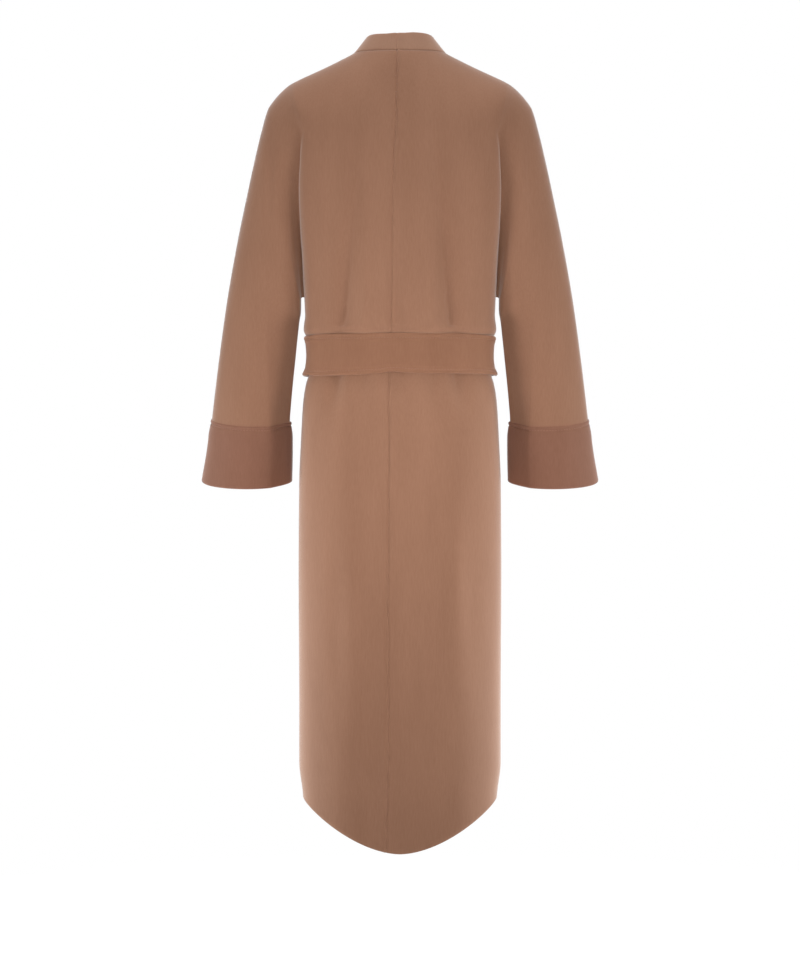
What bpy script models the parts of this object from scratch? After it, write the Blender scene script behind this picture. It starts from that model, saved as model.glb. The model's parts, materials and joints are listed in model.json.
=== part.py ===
"""Long belted coat in double-faced wool, hollow as worn: kimono sleeves, turned-back cuffs, band collar, tie belt.

The origin is the middle of the neck at shoulder height. +Z is up, the front faces -Y, and +X is the wearer's left.
Each cut piece is a cloth wall whose outer points come from sections of the body and of the sleeve. A kimono sleeve
has no armhole seam: half of it is cut in one with the back and half with the front, and the two meet along a seam
over the arm and another under it.
"""

import math

import bmesh
import bpy
import numpy as np

MM = 0.001

# Cloth
CLOTH = 3.0 * MM
SEAM_GAP = 0.3 * MM

# Where one front lies under the other: the air between them, and how the under one comes back out past the edge
LAP_GAP = 1.6 * MM
LAP_MARGIN = 18.0 * MM
LAP_FADE = 60.0 * MM
LAP_SIDE_SHARE = 0.98

# Colour of the milled wool face, sRGB
WOOL_SRGB = (154, 112, 90)
BELT_SRGB = (157, 113, 89)
CUFF_SRGB = (143, 103, 83)

# Neck and shoulder. Squareness is the power of the body's rounded sections, 2 for an ellipse
NECK_HALF_WIDTH = 73.6 * MM
NECK_BACK_DEPTH = 70.0 * MM
NECK_BACK_DROP = 4.0 * MM
SHOULDER_POINT = 172.0 * MM
YOKE_BOTTOM = -130.0 * MM
NECK_ROUNDNESS = 0.25
SQUARENESS = 2.4

# Where the armhole closes, the belt sits and the side slits open
UNDERARM = -376.0 * MM
BELT_MIDDLE = -466.8 * MM
SLIT_TOP = -1093.0 * MM

# Curved shirt-tail hem
HEM_CENTRE = -1223.0 * MM
HEM_RISE = 73.5 * MM
HEM_HALF_WIDTH = 149.0 * MM
HEM_CURVE = 1.75

# Band collar: its height at the back, each side as it stands, and at the side of the neck, and how far it leans in
COLLAR_BACK_HEIGHT = {1: 28.0 * MM, -1: 30.5 * MM}
COLLAR_SIDE_HEIGHT = 34.6 * MM
COLLAR_LEAN_BACK = 0.25
COLLAR_LEAN_SIDE = 0.65
COLLAR_END = 20.0 * MM

# Tie belt: the knot's size, and the two hanging ends
KNOT_X = 20.0 * MM
KNOT_HALF_WIDTH = 33.0 * MM
KNOT_TOP = -429.0 * MM
KNOT_BOTTOM = -503.0 * MM
KNOT_THICKNESS = 21.0 * MM
KNOT_SIDES = 14
KNOT_SPANS = 8
END_WIDTH = 57.0 * MM
END_ROOT_WIDTH = 33.0 * MM
END_FLARE = 120.0 * MM
END_THICKNESS = 5.0 * MM
END_CLEARANCE = 1.5 * MM
END_LIFT = 6.0 * MM
END_LENGTHS = {1: 400.0 * MM, -1: 360.0 * MM}
END_DRIFT = 0.05

# Mesh resolution
NECK_SPANS = 3
SHOULDER_SPANS = 10
FRONT_SPANS = 11
YOKE_SPANS = 5
HEM_SPANS = 4
COLLAR_SPANS = 3
END_SPANS = 12
BELT_QUARTER_SPANS = 12


def table(columns, rows):
    """Rows of millimetres as named columns of metres, in rising order of the first column."""
    ordered = np.array(sorted(rows), float) * MM
    return {name: ordered[:, i] for i, name in enumerate(columns.split())}


# The body's sections: half width, depth behind and before the mid-plane, and how far the side edges stand apart
TORSO = table("height half_width back front edge", [
    (-130, 150.0, 106, 98, 68), (-166, 152.6, 109, 102, 54), (-215, 155.0, 111, 106, 40),
    (-267, 153.7, 111, 108, 27), (-320, 150.5, 108, 106, 15), (-358, 149.0, 105.3, 103, 5.5),
    (-376, 148.2, 103.8, 100.2, 0.15), (-402, 147.0, 101.6, 97.6, 0.15), (-426, 145.4, 99.5, 94.5, 0.15),
    (-437, 141.2, 94, 89, 0.15), (-467, 140.0, 92, 87, 0.15), (-497, 141.6, 94, 89, 0.15),
    (-508, 145.0, 97.6, 91.6, 0.15), (-527, 148.6, 103, 95.3, 0.15), (-545, 150.5, 107, 98, 0.15),
    (-600, 153.5, 115, 104, 0.15),
    (-660, 156.0, 119, 108, 0.15), (-800, 157.0, 121, 110, 0.15), (-1000, 156.0, 120, 109, 0.15),
    (-1093, 156.0, 119, 108, 0.15), (-1150, 149.6, 113, 103, 12), (-1230, 149.0, 112, 102, 12),
])

# The shoulder line from neck to armhole
SHOULDER = table("across height", [
    (73.6, 0), (93.8, -10.85), (119.4, -23.25), (136.4, -31.0), (153.5, -38.75), (172.0, -48.0),
])

# The centre-back seam leans to the wearer's left as it falls
BACK_SEAM = table("height across", [
    (0, 4.6), (-130, 7.5), (-225, 11.5), (-410, 13.0), (-505, 17.0), (-780, 17.5), (-1060, 16.5), (-1230, 21.0),
])

# Right front: its sewn edge, and the open edge of the collar band and then of the panel
FRONT_EDGE = table("height seam opening", [
    (0, -73.6, -52), (-60, -82, -52), (-120, -76, -42), (-180, -60, -24), (-240, -37, 0),
    (-300, -10, 28), (-360, 18, 56), (-420, 45, 82), (-461, 57, 95), (-480, 96, 96),
    (-560, 97, 97), (-1230, 97, 97),
])

# Soft vertical folds of the back: where, how wide and deep, and where they begin and end
BACK_FOLDS = table("across half_width depth top bottom", [
    (82, 17, 3.2, -170, -437), (22, 20, 2.4, -210, -437), (-12, 15, 1.6, -240, -437),
    (-82, 17, 3.6, -190, -437), (58, 30, 3.0, -520, -1160), (-70, 26, 2.2, -560, -1120),
])

# Sleeve sections by distance down the overarm: outer and inner points, half depth, and forward swing
SLEEVE = table("along out_x out_z in_x in_z half_depth centre_y", [
    (0, 172.0, -48, 148.2, -376, 42, 0), (5, 176.0, -51, 152.0, -377, 43, 0),
    (23, 190.0, -62, 152.6, -379, 48, 0), (50, 204.6, -85, 152.8, -381, 53, -1),
    (82, 213.9, -116, 152.8, -384, 57, -2), (131, 225.5, -163, 152.8, -388, 60, -5),
    (194, 239.2, -225, 152.8, -393, 62, -9), (257, 252.5, -287, 153.0, -399, 63, -15),
    (352, 269.6, -380, 155.3, -411, 62, -24), (429, 281.0, -457, 161.7, -467, 61, -33),
    (508, 291.3, -535, 169.4, -541, 61, -43), (540, 295.0, -566, 171.4, -570, 61, -47),
    (575, 298.5, -601, 171.4, -604, 61.5, -51), (634, 308.4, -658, 172.6, -659, 63, -58),
])
SLEEVE_STATIONS = (0, 5, 14, 30, 50, 82, 131, 194, 257, 310, 352, 400, 440, 480, 520, 537, 575, 610, 634)
CUFF_STATIONS = (537, 575, 610, 634)
# The front half of a sleeve bends forward at the elbow, so it is in three stretches between these stations
SLEEVE_STRETCHES = {
    "back": {"": (0, 634)},
    "front": {"": (0, 352), "_forearm": (352, 480), "_wrist": (480, 634)},
}
SLEEVE_SWING = math.radians(10.5)
SWING_START = 60.0 * MM
SWING_FULL = 400.0 * MM
# How much of the armhole's own outline is left in the first sleeve sections
ARMHOLE_FADE = (1.0, 1.0, 0.8, 0.52, 0.28, 0.1)
# The fold down the inside of the arm
SLEEVE_FOLD_ANGLE = math.radians(134)
SLEEVE_FOLD_SPREAD = math.radians(24)
SLEEVE_FOLD_DEPTH = 5.0 * MM
SLEEVE_FOLD_START = 220.0 * MM
SLEEVE_FOLD_FULL = 460.0 * MM
# Longest a wall may be drawn out across a crease, as one over this
CREASE_LIMIT = 0.5

# Belt section: height from its middle, and how far its inner and outer faces stand off the body
BELT = table("height inner outer", [
    (-30.2, 4.4, 9.2), (-26.0, 3.2, 10.0), (-18.0, 1.0, 6.6), (0, 0.8, 5.4),
    (18.0, 0.8, 6.0), (25.0, 1.8, 8.0), (30.2, 2.8, 7.2),
])

# Heights of the panels' rows below the yoke, with the belt's own rows among them
PANEL_HEIGHTS = [h * MM for h in (-130, -166, -215, -267, -312, -350, -376, -402, -426)]
PANEL_HEIGHTS += [BELT_MIDDLE + h for h in BELT["height"][::-1]]
PANEL_HEIGHTS += [h * MM for h in (-508, -525, -552, -610, -690, -790, -890, -990, -1093)]
ARM_ROWS = YOKE_SPANS + PANEL_HEIGHTS.index(UNDERARM)


def between(rows, column, place):
    """A table's column at a place between its rows, on a curve that doesn't overshoot them."""
    x = rows[next(iter(rows))]
    y = rows[column]
    step = np.diff(x)
    slope = np.diff(y) / step
    tangent = np.concatenate([slope[:1], np.zeros(len(x) - 2), slope[-1:]])
    for i in range(1, len(x) - 1):
        if slope[i - 1] * slope[i] > 0:
            tangent[i] = 2 / (1 / slope[i - 1] + 1 / slope[i])
    place = np.clip(np.asarray(place, float), x[0], x[-1])
    i = np.clip(np.searchsorted(x, place) - 1, 0, len(step) - 1)
    t = (place - x[i]) / step[i]
    blend = t * t * (3 - 2 * t)
    start_pull = (t - 2 * t * t + t ** 3) * step[i]
    end_pull = (t ** 3 - t * t) * step[i]
    return y[i] * (1 - blend) + y[i + 1] * blend + tangent[i] * start_pull + tangent[i + 1] * end_pull


def smooth_step(value, low, high):
    """0 at low, 1 at high, with an even ease between them. Low may be above high."""
    t = np.clip((value - low) / (high - low), 0, 1)
    return t * t * (3 - 2 * t)


def unit(vectors):
    """Vectors of length one."""
    return vectors / np.linalg.norm(vectors, axis=-1, keepdims=True)


def hem_height(x):
    """Height of the curved hem at a distance across the coat."""
    across = np.clip(np.abs(x) / HEM_HALF_WIDTH, 0, 1)
    return HEM_CENTRE + HEM_RISE * across ** HEM_CURVE


def fold_depth(x, height):
    """How far the back's soft folds sink there."""
    sunk = np.zeros(np.broadcast(x, height).shape)
    for across, half_width, depth, top, bottom in zip(*BACK_FOLDS.values()):
        along = np.clip((top - height) / (top - bottom), 0, 1)
        sunk = sunk + depth * np.exp(-((x - across) / half_width) ** 2) * np.sin(math.pi * along) ** 2
    return sunk


def body_depth(side, x, height):
    """How far the cloth stands from the mid-plane, behind it for side 1 and before it for side -1."""
    full = between(TORSO, "back" if side > 0 else "front", height)
    edge = between(TORSO, "edge", height)
    across = np.clip(np.abs(x) / between(TORSO, "half_width", height), 0, 1)
    round_side = (1 - across ** SQUARENESS) ** (1 / SQUARENESS)
    return edge + (full - edge) * round_side


def lap_depth(x, height):
    """How far the left front sinks where it lies under the right one."""
    opening = between(FRONT_EDGE, "opening", height)
    width = between(TORSO, "half_width", height)
    end = np.minimum(opening + LAP_FADE, LAP_SIDE_SHARE * width)
    across = np.clip(np.abs(x) / width, 0, LAP_SIDE_SHARE)
    turn_in = across ** (SQUARENESS - 1) * (1 - across ** SQUARENESS) ** (1 / SQUARENESS - 1)
    slant = np.hypot(1, turn_in * between(TORSO, "front", height) / width)
    return (CLOTH + LAP_GAP) * slant * smooth_step(x, end, opening + LAP_MARGIN)


def panel_rows(x_at):
    """Heights of the rows from the yoke's bottom to the hem, each an array over the columns, with their x."""
    rows = []
    for height in PANEL_HEIGHTS:
        x = x_at(height)
        rows.append((x, np.full(len(x), height)))
    for k in range(1, HEM_SPANS + 1):
        x = x_at(SLIT_TOP)
        for _ in range(3):
            height = SLIT_TOP + (hem_height(x) - SLIT_TOP) * k / HEM_SPANS
            x = x_at(height)
        rows.append((x, height))
    return rows


def column_shares():
    """Shares of the half width at the back panel's columns, with one at the neck point, and that share."""
    neck_share = NECK_HALF_WIDTH / SHOULDER_POINT
    neck_angle = math.asin(neck_share ** (SQUARENESS / 2))
    neck = np.linspace(0, neck_angle, NECK_SPANS + 1)
    rest = np.linspace(neck_angle, math.pi / 2, SHOULDER_SPANS + 1)[1:]
    return np.sin(np.concatenate([neck, rest])) ** (2 / SQUARENESS), neck_share


def back_grid(side):
    """Outer points of one back panel, rows from the neck and shoulder to the hem, columns from the seam outwards."""
    shares, neck_share = column_shares()
    at_neck = np.arange(len(shares)) <= NECK_SPANS

    def x_at(height):
        width = side * between(TORSO, "half_width", height)
        seam = between(BACK_SEAM, "across", height) + side * SEAM_GAP / 2
        return np.where(at_neck, seam + (width * neck_share - seam) * shares / neck_share, width * shares)

    rows = [np.stack([x, body_depth(1, x, h) - fold_depth(x, h), h], axis=1) for x, h in panel_rows(x_at)]
    seam = between(BACK_SEAM, "across", 0.0) + side * SEAM_GAP / 2
    on_neck = seam + (side * NECK_HALF_WIDTH - seam) * np.minimum(shares / neck_share, 1)
    on_shoulder = (SHOULDER_POINT - NECK_HALF_WIDTH) * np.clip((shares - neck_share) / (1 - neck_share), 0, 1)
    ring = np.sqrt(np.clip(1 - (on_neck / NECK_HALF_WIDTH) ** 2, 0, 1))
    x = on_neck + side * on_shoulder
    y = NECK_BACK_DEPTH * ring + SEAM_GAP / 2
    z = between(SHOULDER, "height", np.abs(x)) - NECK_BACK_DROP * ring ** 2
    roundness = NECK_ROUNDNESS + (1 - NECK_ROUNDNESS) * smooth_step(np.abs(on_neck), 0, NECK_HALF_WIDTH)
    return np.array(yoke_rows(np.stack([x, y, z], axis=1), rows[0], roundness) + rows)


def yoke_rows(top, full, roundness):
    """Rows that round over the shoulder, from the top edge down to the first full section."""
    rows = []
    for k in range(YOKE_SPANS):
        turn = math.pi / 2 * k / YOKE_SPANS
        fall = 1 - math.cos(turn)
        bulge = roundness * math.sin(turn) + (1 - roundness) * fall ** 0.75
        reach = np.stack([np.full(len(top), fall ** 2), bulge, np.full(len(top), fall)], axis=1)
        rows.append(top + (full - top) * reach)
    return rows


def front_grid(side):
    """Outer points of one front panel, rows from the shoulder to the hem, columns from its edge to the side."""
    shares = np.sin(np.linspace(0, math.pi / 2, FRONT_SPANS + 1))

    def x_at(height):
        width = side * between(TORSO, "half_width", height)
        edge = -side * between(FRONT_EDGE, "seam", height)
        return edge + (width - edge) * shares

    def depth(x, height):
        return body_depth(-1, x, height) - (lap_depth(x, height) if side > 0 else 0)

    rows = [np.stack([x, -depth(x, h), h], axis=1) for x, h in panel_rows(x_at)]
    across = NECK_HALF_WIDTH + (SHOULDER_POINT - NECK_HALF_WIDTH) * shares
    heights = between(SHOULDER, "height", across)
    top = np.stack([side * across, np.full(len(shares), -SEAM_GAP / 2), heights], axis=1)
    yoke = yoke_rows(top, rows[0], np.ones(len(shares)))
    for row in yoke[1:]:
        edge = -side * between(FRONT_EDGE, "seam", row[0, 2])
        row[:, 0] += (edge - row[0, 0]) * (1 - shares)
    return np.array(yoke + rows)


def grid_normals(grid, inside, ring=False):
    """Unit normals of a grid of points, pointing away from the inside points given for its rows."""
    down = np.gradient(grid, axis=0)
    if ring:
        across = (np.roll(grid, -1, axis=1) - np.roll(grid, 1, axis=1)) / 2
    else:
        across = np.gradient(grid, axis=1)
    normals = unit(np.cross(across, down))
    facing = np.sum(normals * (grid - inside[:, None, :]))
    return normals if facing > 0 else -normals


def axis_points(grid):
    """Points on the coat's upright axis, level with each row."""
    return np.stack([np.zeros(len(grid)), np.zeros(len(grid)), grid[:, :, 2].mean(axis=1)], axis=1)


def level(normals, rows, columns, axis):
    """Takes one axis out of the normals along a seam, so that both sides of the seam turn in alike."""
    normals[rows, columns, axis] = 0
    normals[rows, columns] = unit(normals[rows, columns])


def wool(name, srgb):
    """Milled wool: a matt face in one colour."""
    material = bpy.data.materials.new(name)
    material.use_nodes = True
    shader = material.node_tree.nodes["Principled BSDF"]
    linear = [(c / 255 / 12.92) if c < 11 else ((c / 255 + 0.055) / 1.055) ** 2.4 for c in srgb]
    shader.inputs["Base Color"].default_value = (*linear, 1)
    shader.inputs["Roughness"].default_value = 0.9
    shader.inputs["Metallic"].default_value = 0.0
    return material


def add_object(name, bm, srgb, parent):
    """Turns a finished bmesh into a smooth-shaded object under the coat's empty."""
    bmesh.ops.recalc_face_normals(bm, faces=bm.faces)
    mesh = bpy.data.meshes.new(name)
    bm.to_mesh(mesh)
    bm.free()
    mesh.shade_smooth()
    mesh.set_sharp_from_angle(angle=math.radians(40))
    mesh.materials.append(wool(name + "_wool", srgb))
    obj = bpy.data.objects.new(name, mesh)
    bpy.context.scene.collection.objects.link(obj)
    obj.parent = parent
    return obj


def add_wall(name, outer, normals, srgb, parent, thickness=CLOTH):
    """A cloth wall: the outer grid, the same grid a thickness inside it, and a rim that closes them."""
    bm = bmesh.new()
    rows, columns = outer.shape[:2]
    layers = []
    for layer in (outer, outer - normals * thickness):
        verts = {(r, c): bm.verts.new(layer[r, c]) for r in range(rows) for c in range(columns)}
        layers.append(verts)
        for r, c in verts:
            corners = [(r, c), (r, c + 1), (r + 1, c + 1), (r + 1, c)]
            if all(corner in verts for corner in corners):
                bm.faces.new([verts[corner] for corner in corners])
    under = {layers[0][place]: layers[1][place] for place in layers[0]}
    for edge in [e for e in bm.edges if e.is_boundary and e.verts[0] in under]:
        here, there = edge.verts
        bm.faces.new((here, there, under[there], under[here]))
    return add_object(name, bm, srgb, parent)


def add_loft(name, sections, srgb, parent, ring=True):
    """Joins closed sections of equal count into one solid, round a ring or with both ends capped."""
    bm = bmesh.new()
    loops = [[bm.verts.new(p) for p in section] for section in sections]
    count = len(loops)
    for i in range(count if ring else count - 1):
        here, there = loops[i], loops[(i + 1) % count]
        for k in range(len(here)):
            j = (k + 1) % len(here)
            bm.faces.new((here[k], here[j], there[j], there[k]))
    if not ring:
        bm.faces.new(loops[0])
        bm.faces.new(loops[-1])
    return add_object(name, bm, srgb, parent)


def panels():
    """Outer grids and normals of the body part of the two backs and two fronts, by name and side."""
    grids, normals = {}, {}
    for side in (1, -1):
        for name, grid, seam in (("back", back_grid(side), NECK_SPANS), ("front", front_grid(side), 0)):
            out = grid_normals(grid, axis_points(grid))
            level(out, slice(YOKE_SPANS, None), -1, 1)
            level(out, 0, slice(seam, None), 1)
            if name == "back":
                level(out, slice(None), 0, 0)
            grids[name, side] = grid
            normals[name, side] = out
    return grids, normals


def sleeve_rings(side, grids):
    """Sections of one sleeve, from the line where the body panels leave off to the wrist."""
    back = grids["back", side][: ARM_ROWS + 1, -1]
    front = grids["front", side][: ARM_ROWS + 1, -1]
    loop = np.concatenate([back, front[ARM_ROWS - 1:0:-1]])
    loop[[0, ARM_ROWS], 1] = 0
    middle = (loop[0, 2] + loop[ARM_ROWS, 2]) / 2
    half = (loop[0, 2] - loop[ARM_ROWS, 2]) / 2
    angle = np.arccos(np.clip((loop[:, 2] - middle) / half, -1, 1))
    angle[ARM_ROWS + 1:] = 2 * math.pi - angle[ARM_ROWS + 1:]

    def section(along):
        at = {name: float(between(SLEEVE, name, along)) for name in SLEEVE}
        outer = np.array([side * at["out_x"], at["centre_y"], at["out_z"]])
        inner = np.array([side * at["in_x"], at["centre_y"], at["in_z"]])
        swing = SLEEVE_SWING * smooth_step(along, SWING_START, SWING_FULL)
        backward = np.array([0, math.cos(swing), -math.sin(swing)]) * at["half_depth"]
        centre = (outer + inner) / 2
        sunk = 1 - sleeve_fold(angle, along) / at["half_depth"]
        round_arm = np.outer(np.cos(angle), (outer - inner) / 2) + np.outer(np.sin(angle) * sunk, backward)
        return centre + round_arm

    stray = loop - section(0)
    rings = []
    for k, along in enumerate(SLEEVE_STATIONS):
        kept = ARMHOLE_FADE[k] if k < len(ARMHOLE_FADE) else 0
        rings.append(section(along * MM) + kept * stray)
    return np.array(rings)


def sleeve_fold(angle, along):
    """How far the soft fold down the inside of the arm sinks, front and back alike."""
    turn = np.abs(np.angle(np.exp(1j * angle)))
    around = np.exp(-((turn - SLEEVE_FOLD_ANGLE) / SLEEVE_FOLD_SPREAD) ** 2)
    return SLEEVE_FOLD_DEPTH * around * smooth_step(along, SLEEVE_FOLD_START, SLEEVE_FOLD_FULL)


def sleeve_half(rings, face):
    """Rows of one half of a sleeve's rings, from the seam over the arm to the one under it."""
    count = rings.shape[1]
    order = [face * k % count for k in range(ARM_ROWS + 1)]
    return rings[:, order].transpose(1, 0, 2).copy()


def add_panels_and_sleeves(parent, grids, normals):
    """Two backs and two fronts, the half sleeve beside each, and on each sleeve a cuff turned up over its end.

    A half sleeve starts a seam gap from its panel, along the fold where the arm hangs down, and each of its stretches
    a seam gap from the one above.
    """
    for side, word in ((1, "left"), (-1, "right")):
        rings = sleeve_rings(side, grids)
        out = grid_normals(rings, rings.mean(axis=1), ring=True)
        for name, face in (("back", 1), ("front", -1)):
            body, body_out = grids[name, side], normals[name, side].copy()
            arm, arm_out = sleeve_half(rings, face), sleeve_half(out, face)
            arm[[0, -1], :, 1] += face * SEAM_GAP / 2
            body_out[: ARM_ROWS + 1, -1] = crease_normals(body_out[: ARM_ROWS + 1, -1], arm_out[:, 0])
            body_out[[0, ARM_ROWS], -1, 1] = 0
            arm_out[:, 0] = body_out[: ARM_ROWS + 1, -1]
            add_wall(word + "_" + name, body, body_out, WOOL_SRGB, parent)
            for stretch, (first, last) in SLEEVE_STRETCHES[name].items():
                run = slice(SLEEVE_STATIONS.index(first), SLEEVE_STATIONS.index(last) + 1)
                piece = arm[:, run].copy()
                piece[:, 0] += unit(piece[:, 1] - piece[:, 0]) * SEAM_GAP
                add_wall(word + "_sleeve_" + name + stretch, piece, arm_out[:, run], WOOL_SRGB, parent)
        add_cuff(word + "_cuff", rings, out, parent)


def crease_normals(one, other):
    """Normals along a crease between two faces, lengthened so that the wall keeps its thickness on both."""
    middle = unit(one + other)
    return middle / np.maximum(np.sum(middle * one, axis=1, keepdims=True), CREASE_LIMIT)


def add_cuff(name, rings, normals, parent):
    """The sleeve's end turned up: a wall outside the sleeve, joined under its edge by the rounded fold."""
    on_cuff = [SLEEVE_STATIONS.index(s) for s in CUFF_STATIONS]
    stand = SEAM_GAP + CLOTH
    sections = []
    for j in range(rings.shape[1]):
        line = rings[on_cuff, j]
        out = normals[on_cuff, j]
        down = unit(line[-1] - line[-2])
        end, end_out = line[-1], out[-1]
        face = [p + n * stand for p, n in zip(line, out)]
        fold = [end + end_out * (stand - 0.7 * MM) + down * 2.0 * MM,
                end + end_out * (stand - 2.4 * MM) + down * (stand - 0.2 * MM),
                end - end_out * 1.4 * MM + down * stand,
                end - end_out * CLOTH + down * 1.6 * MM,
                end - end_out * CLOTH + down * SEAM_GAP,
                end + end_out * SEAM_GAP + down * SEAM_GAP]
        lining = [p + n * SEAM_GAP for p, n in zip(line[-2::-1], out[-2::-1])]
        sections.append(face + fold + lining)
    add_loft(name, sections, CUFF_SRGB, parent)


def collar_grid(side, grids):
    """Outer points of half the band collar: it stands round the neck, then lies on in the front edge to the belt."""
    back_base = grids["back", side][0, : NECK_SPANS + 1]
    turn = np.arctan2(np.abs(back_base[:, 0]) / NECK_HALF_WIDTH, back_base[:, 1] / NECK_BACK_DEPTH)
    lean = COLLAR_LEAN_BACK + (COLLAR_LEAN_SIDE - COLLAR_LEAN_BACK) * np.sin(turn) ** 2
    standing = np.stack([-side * lean * np.sin(turn), -lean * np.cos(turn), np.sqrt(1 - lean ** 2)], axis=1)
    standing[0] = (0, -COLLAR_LEAN_BACK, math.sqrt(1 - COLLAR_LEAN_BACK ** 2))
    back_height = COLLAR_BACK_HEIGHT[side]
    height = back_height + (COLLAR_SIDE_HEIGHT - back_height) * np.sin(turn) ** 2
    rows = [(base, base + d * h) for base, d, h in zip(back_base, standing, height)]

    def open_edge(z):
        x = -side * float(between(FRONT_EDGE, "opening", z))
        lap = float(lap_depth(x, z)) if side > 0 else 0.0
        return np.array([x, lap - float(body_depth(-1, x, z)), z])

    edge = grids["front", side][1:, 0]
    first = edge[YOKE_SPANS - 1]
    lying = open_edge(first[2]) - first
    for base in edge[: YOKE_SPANS - 1]:
        share = smooth_step(base[2], 0, YOKE_BOTTOM)
        reach = COLLAR_SIDE_HEIGHT + (np.linalg.norm(lying) - COLLAR_SIDE_HEIGHT) * share
        rows.append((base, base + unit((1 - share) * standing[-1] + share * unit(lying)) * reach))
    for base in edge[YOKE_SPANS - 1:]:
        rows.append((base, open_edge(base[2])))
        if base[2] < BELT_MIDDLE + COLLAR_END:
            break
    steps = np.linspace(0, 1, COLLAR_SPANS + 1)
    grid = np.array([[base + (edge_point - base) * t for t in steps] for base, edge_point in rows])
    return hug_body(side, grid)


def hug_body(side, grid):
    """Lays the band's inner points on the body's own curve where it lies flat on the front."""
    for row in grid:
        if row[0, 2] <= YOKE_BOTTOM:
            lap = lap_depth(row[:, 0], row[:, 2]) if side > 0 else 0
            row[:, 1] = lap - body_depth(-1, row[:, 0], row[:, 2])
    along = unit(grid[:, 1] - grid[:, 0])
    grid[:, 0] += along * SEAM_GAP
    return grid


def add_collar(parent, grids, panel_normals):
    """Two halves of the band, sewn together at the back of the neck."""
    for side, word in ((1, "left"), (-1, "right")):
        grid = collar_grid(side, grids)
        normals = grid_normals(grid, axis_points(grid))
        level(normals, 0, slice(None), 0)
        # Where the band lies in the front it shares the panel's own slope along their seam
        lying = len(grid) - NECK_SPANS - YOKE_SPANS
        normals[-lying:, 0] = panel_normals["front", side][YOKE_SPANS:YOKE_SPANS + lying, 0]
        # The last row only gives the one above it its slope
        add_wall(word + "_collar", grid[:-1], normals[:-1], WOOL_SRGB, parent)


def belt_columns():
    """Places round the body where the belt has its sections: shares of the half width, and the side they are on."""
    quarter = np.sin(np.linspace(0, math.pi / 2, BELT_QUARTER_SPANS + 1)) ** (2 / SQUARENESS)
    behind = np.concatenate([-quarter[::-1], quarter[1:]])
    before = np.concatenate([quarter[-2::-1], -quarter[1:-1]])
    return [(share, 1) for share in behind] + [(share, -1) for share in before]


def add_belt(parent):
    """The belt's round: a flat double band with plump sewn edges, drawn in over the waist."""
    sections = []
    for share, side in belt_columns():
        inner, outer = [], []
        for height, near, far in zip(*BELT.values()):
            z = BELT_MIDDLE + height
            x = share * float(between(TORSO, "half_width", z))
            point = np.array([x, side * float(body_depth(side, x, z)), z])
            out = body_normal(side, share, z)
            inner.append(point + out * near)
            outer.append(point + out * far)
        sections.append(inner + outer[::-1])
    add_loft("belt", sections, BELT_SRGB, parent)


def body_normal(side, share, height):
    """Level direction straight out of the body's section, at a share of its half width."""
    width = float(between(TORSO, "half_width", height))
    depth = float(between(TORSO, "back" if side > 0 else "front", height))
    along = (1 - abs(share) ** SQUARENESS) ** (1 / SQUARENESS)
    slope_x = math.copysign(abs(share) ** (SQUARENESS - 1) / width, share)
    slope_y = side * along ** (SQUARENESS - 1) / depth
    return unit(np.array([slope_x, slope_y, 0.0]))


def front_face(x, z):
    """The right front's outer face there."""
    return -float(body_depth(-1, x, z))


def add_knot(parent):
    """The belt's knot: folded layers as one rounded solid, on the belt's face."""
    sections = []
    for share in np.linspace(0, 1, KNOT_SPANS + 1):
        z = KNOT_BOTTOM + (KNOT_TOP - KNOT_BOTTOM) * share
        bulge = math.sin(math.pi * (0.12 + 0.76 * share)) ** 0.6
        half = KNOT_HALF_WIDTH * (0.74 + 0.26 * bulge)
        thick = KNOT_THICKNESS * (0.45 + 0.55 * bulge)
        points = []
        for turn in np.linspace(0, 2 * math.pi, KNOT_SIDES, endpoint=False):
            x = KNOT_X + half * math.copysign(abs(math.cos(turn)) ** 0.8, math.cos(turn))
            base = min(front_face(x, BELT_MIDDLE + h) - far for h, far in zip(BELT["height"], BELT["outer"]))
            base -= 2 * SEAM_GAP
            points.append((x, base - thick * (0.5 + 0.5 * math.sin(turn)), z))
        sections.append(points)
    add_loft("belt_knot", sections, BELT_SRGB, parent, ring=False)


def add_belt_ends(parent):
    """The belt's two free ends, hanging from under the knot on the skirt."""
    top = KNOT_BOTTOM - SEAM_GAP
    apart = END_ROOT_WIDTH / 2 + 3 * SEAM_GAP
    for side, word in ((1, "left"), (-1, "right")):
        rows = []
        for k in range(END_SPANS + 1):
            fall = END_LENGTHS[side] * k / END_SPANS
            spread = smooth_step(fall, 0, END_FLARE)
            half = (END_ROOT_WIDTH + (END_WIDTH - END_ROOT_WIDTH) * spread) / 2
            centre = KNOT_X + side * (apart + spread * (END_WIDTH - END_ROOT_WIDTH) / 2 + END_DRIFT * fall)
            lift = END_LIFT * (1 - smooth_step(fall, 0, END_FLARE))
            row = []
            for share in np.linspace(-1, 1, 5):
                x = centre + half * share
                z = top - fall
                row.append((x, front_face(x, z) - END_CLEARANCE - END_THICKNESS - lift, z))
            rows.append(row)
        grid = np.array(rows)
        normals = np.zeros(grid.shape)
        normals[..., 1] = -1
        add_wall("belt_" + word + "_end", grid, normals, BELT_SRGB, parent, END_THICKNESS)


def main():
    for obj in list(bpy.data.objects):
        bpy.data.objects.remove(obj)
    coat = bpy.data.objects.new("coat", None)
    bpy.context.scene.collection.objects.link(coat)
    grids, normals = panels()
    add_panels_and_sleeves(coat, grids, normals)
    add_collar(coat, grids, normals)
    add_belt(coat)
    add_knot(coat)
    add_belt_ends(coat)


main()
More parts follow.
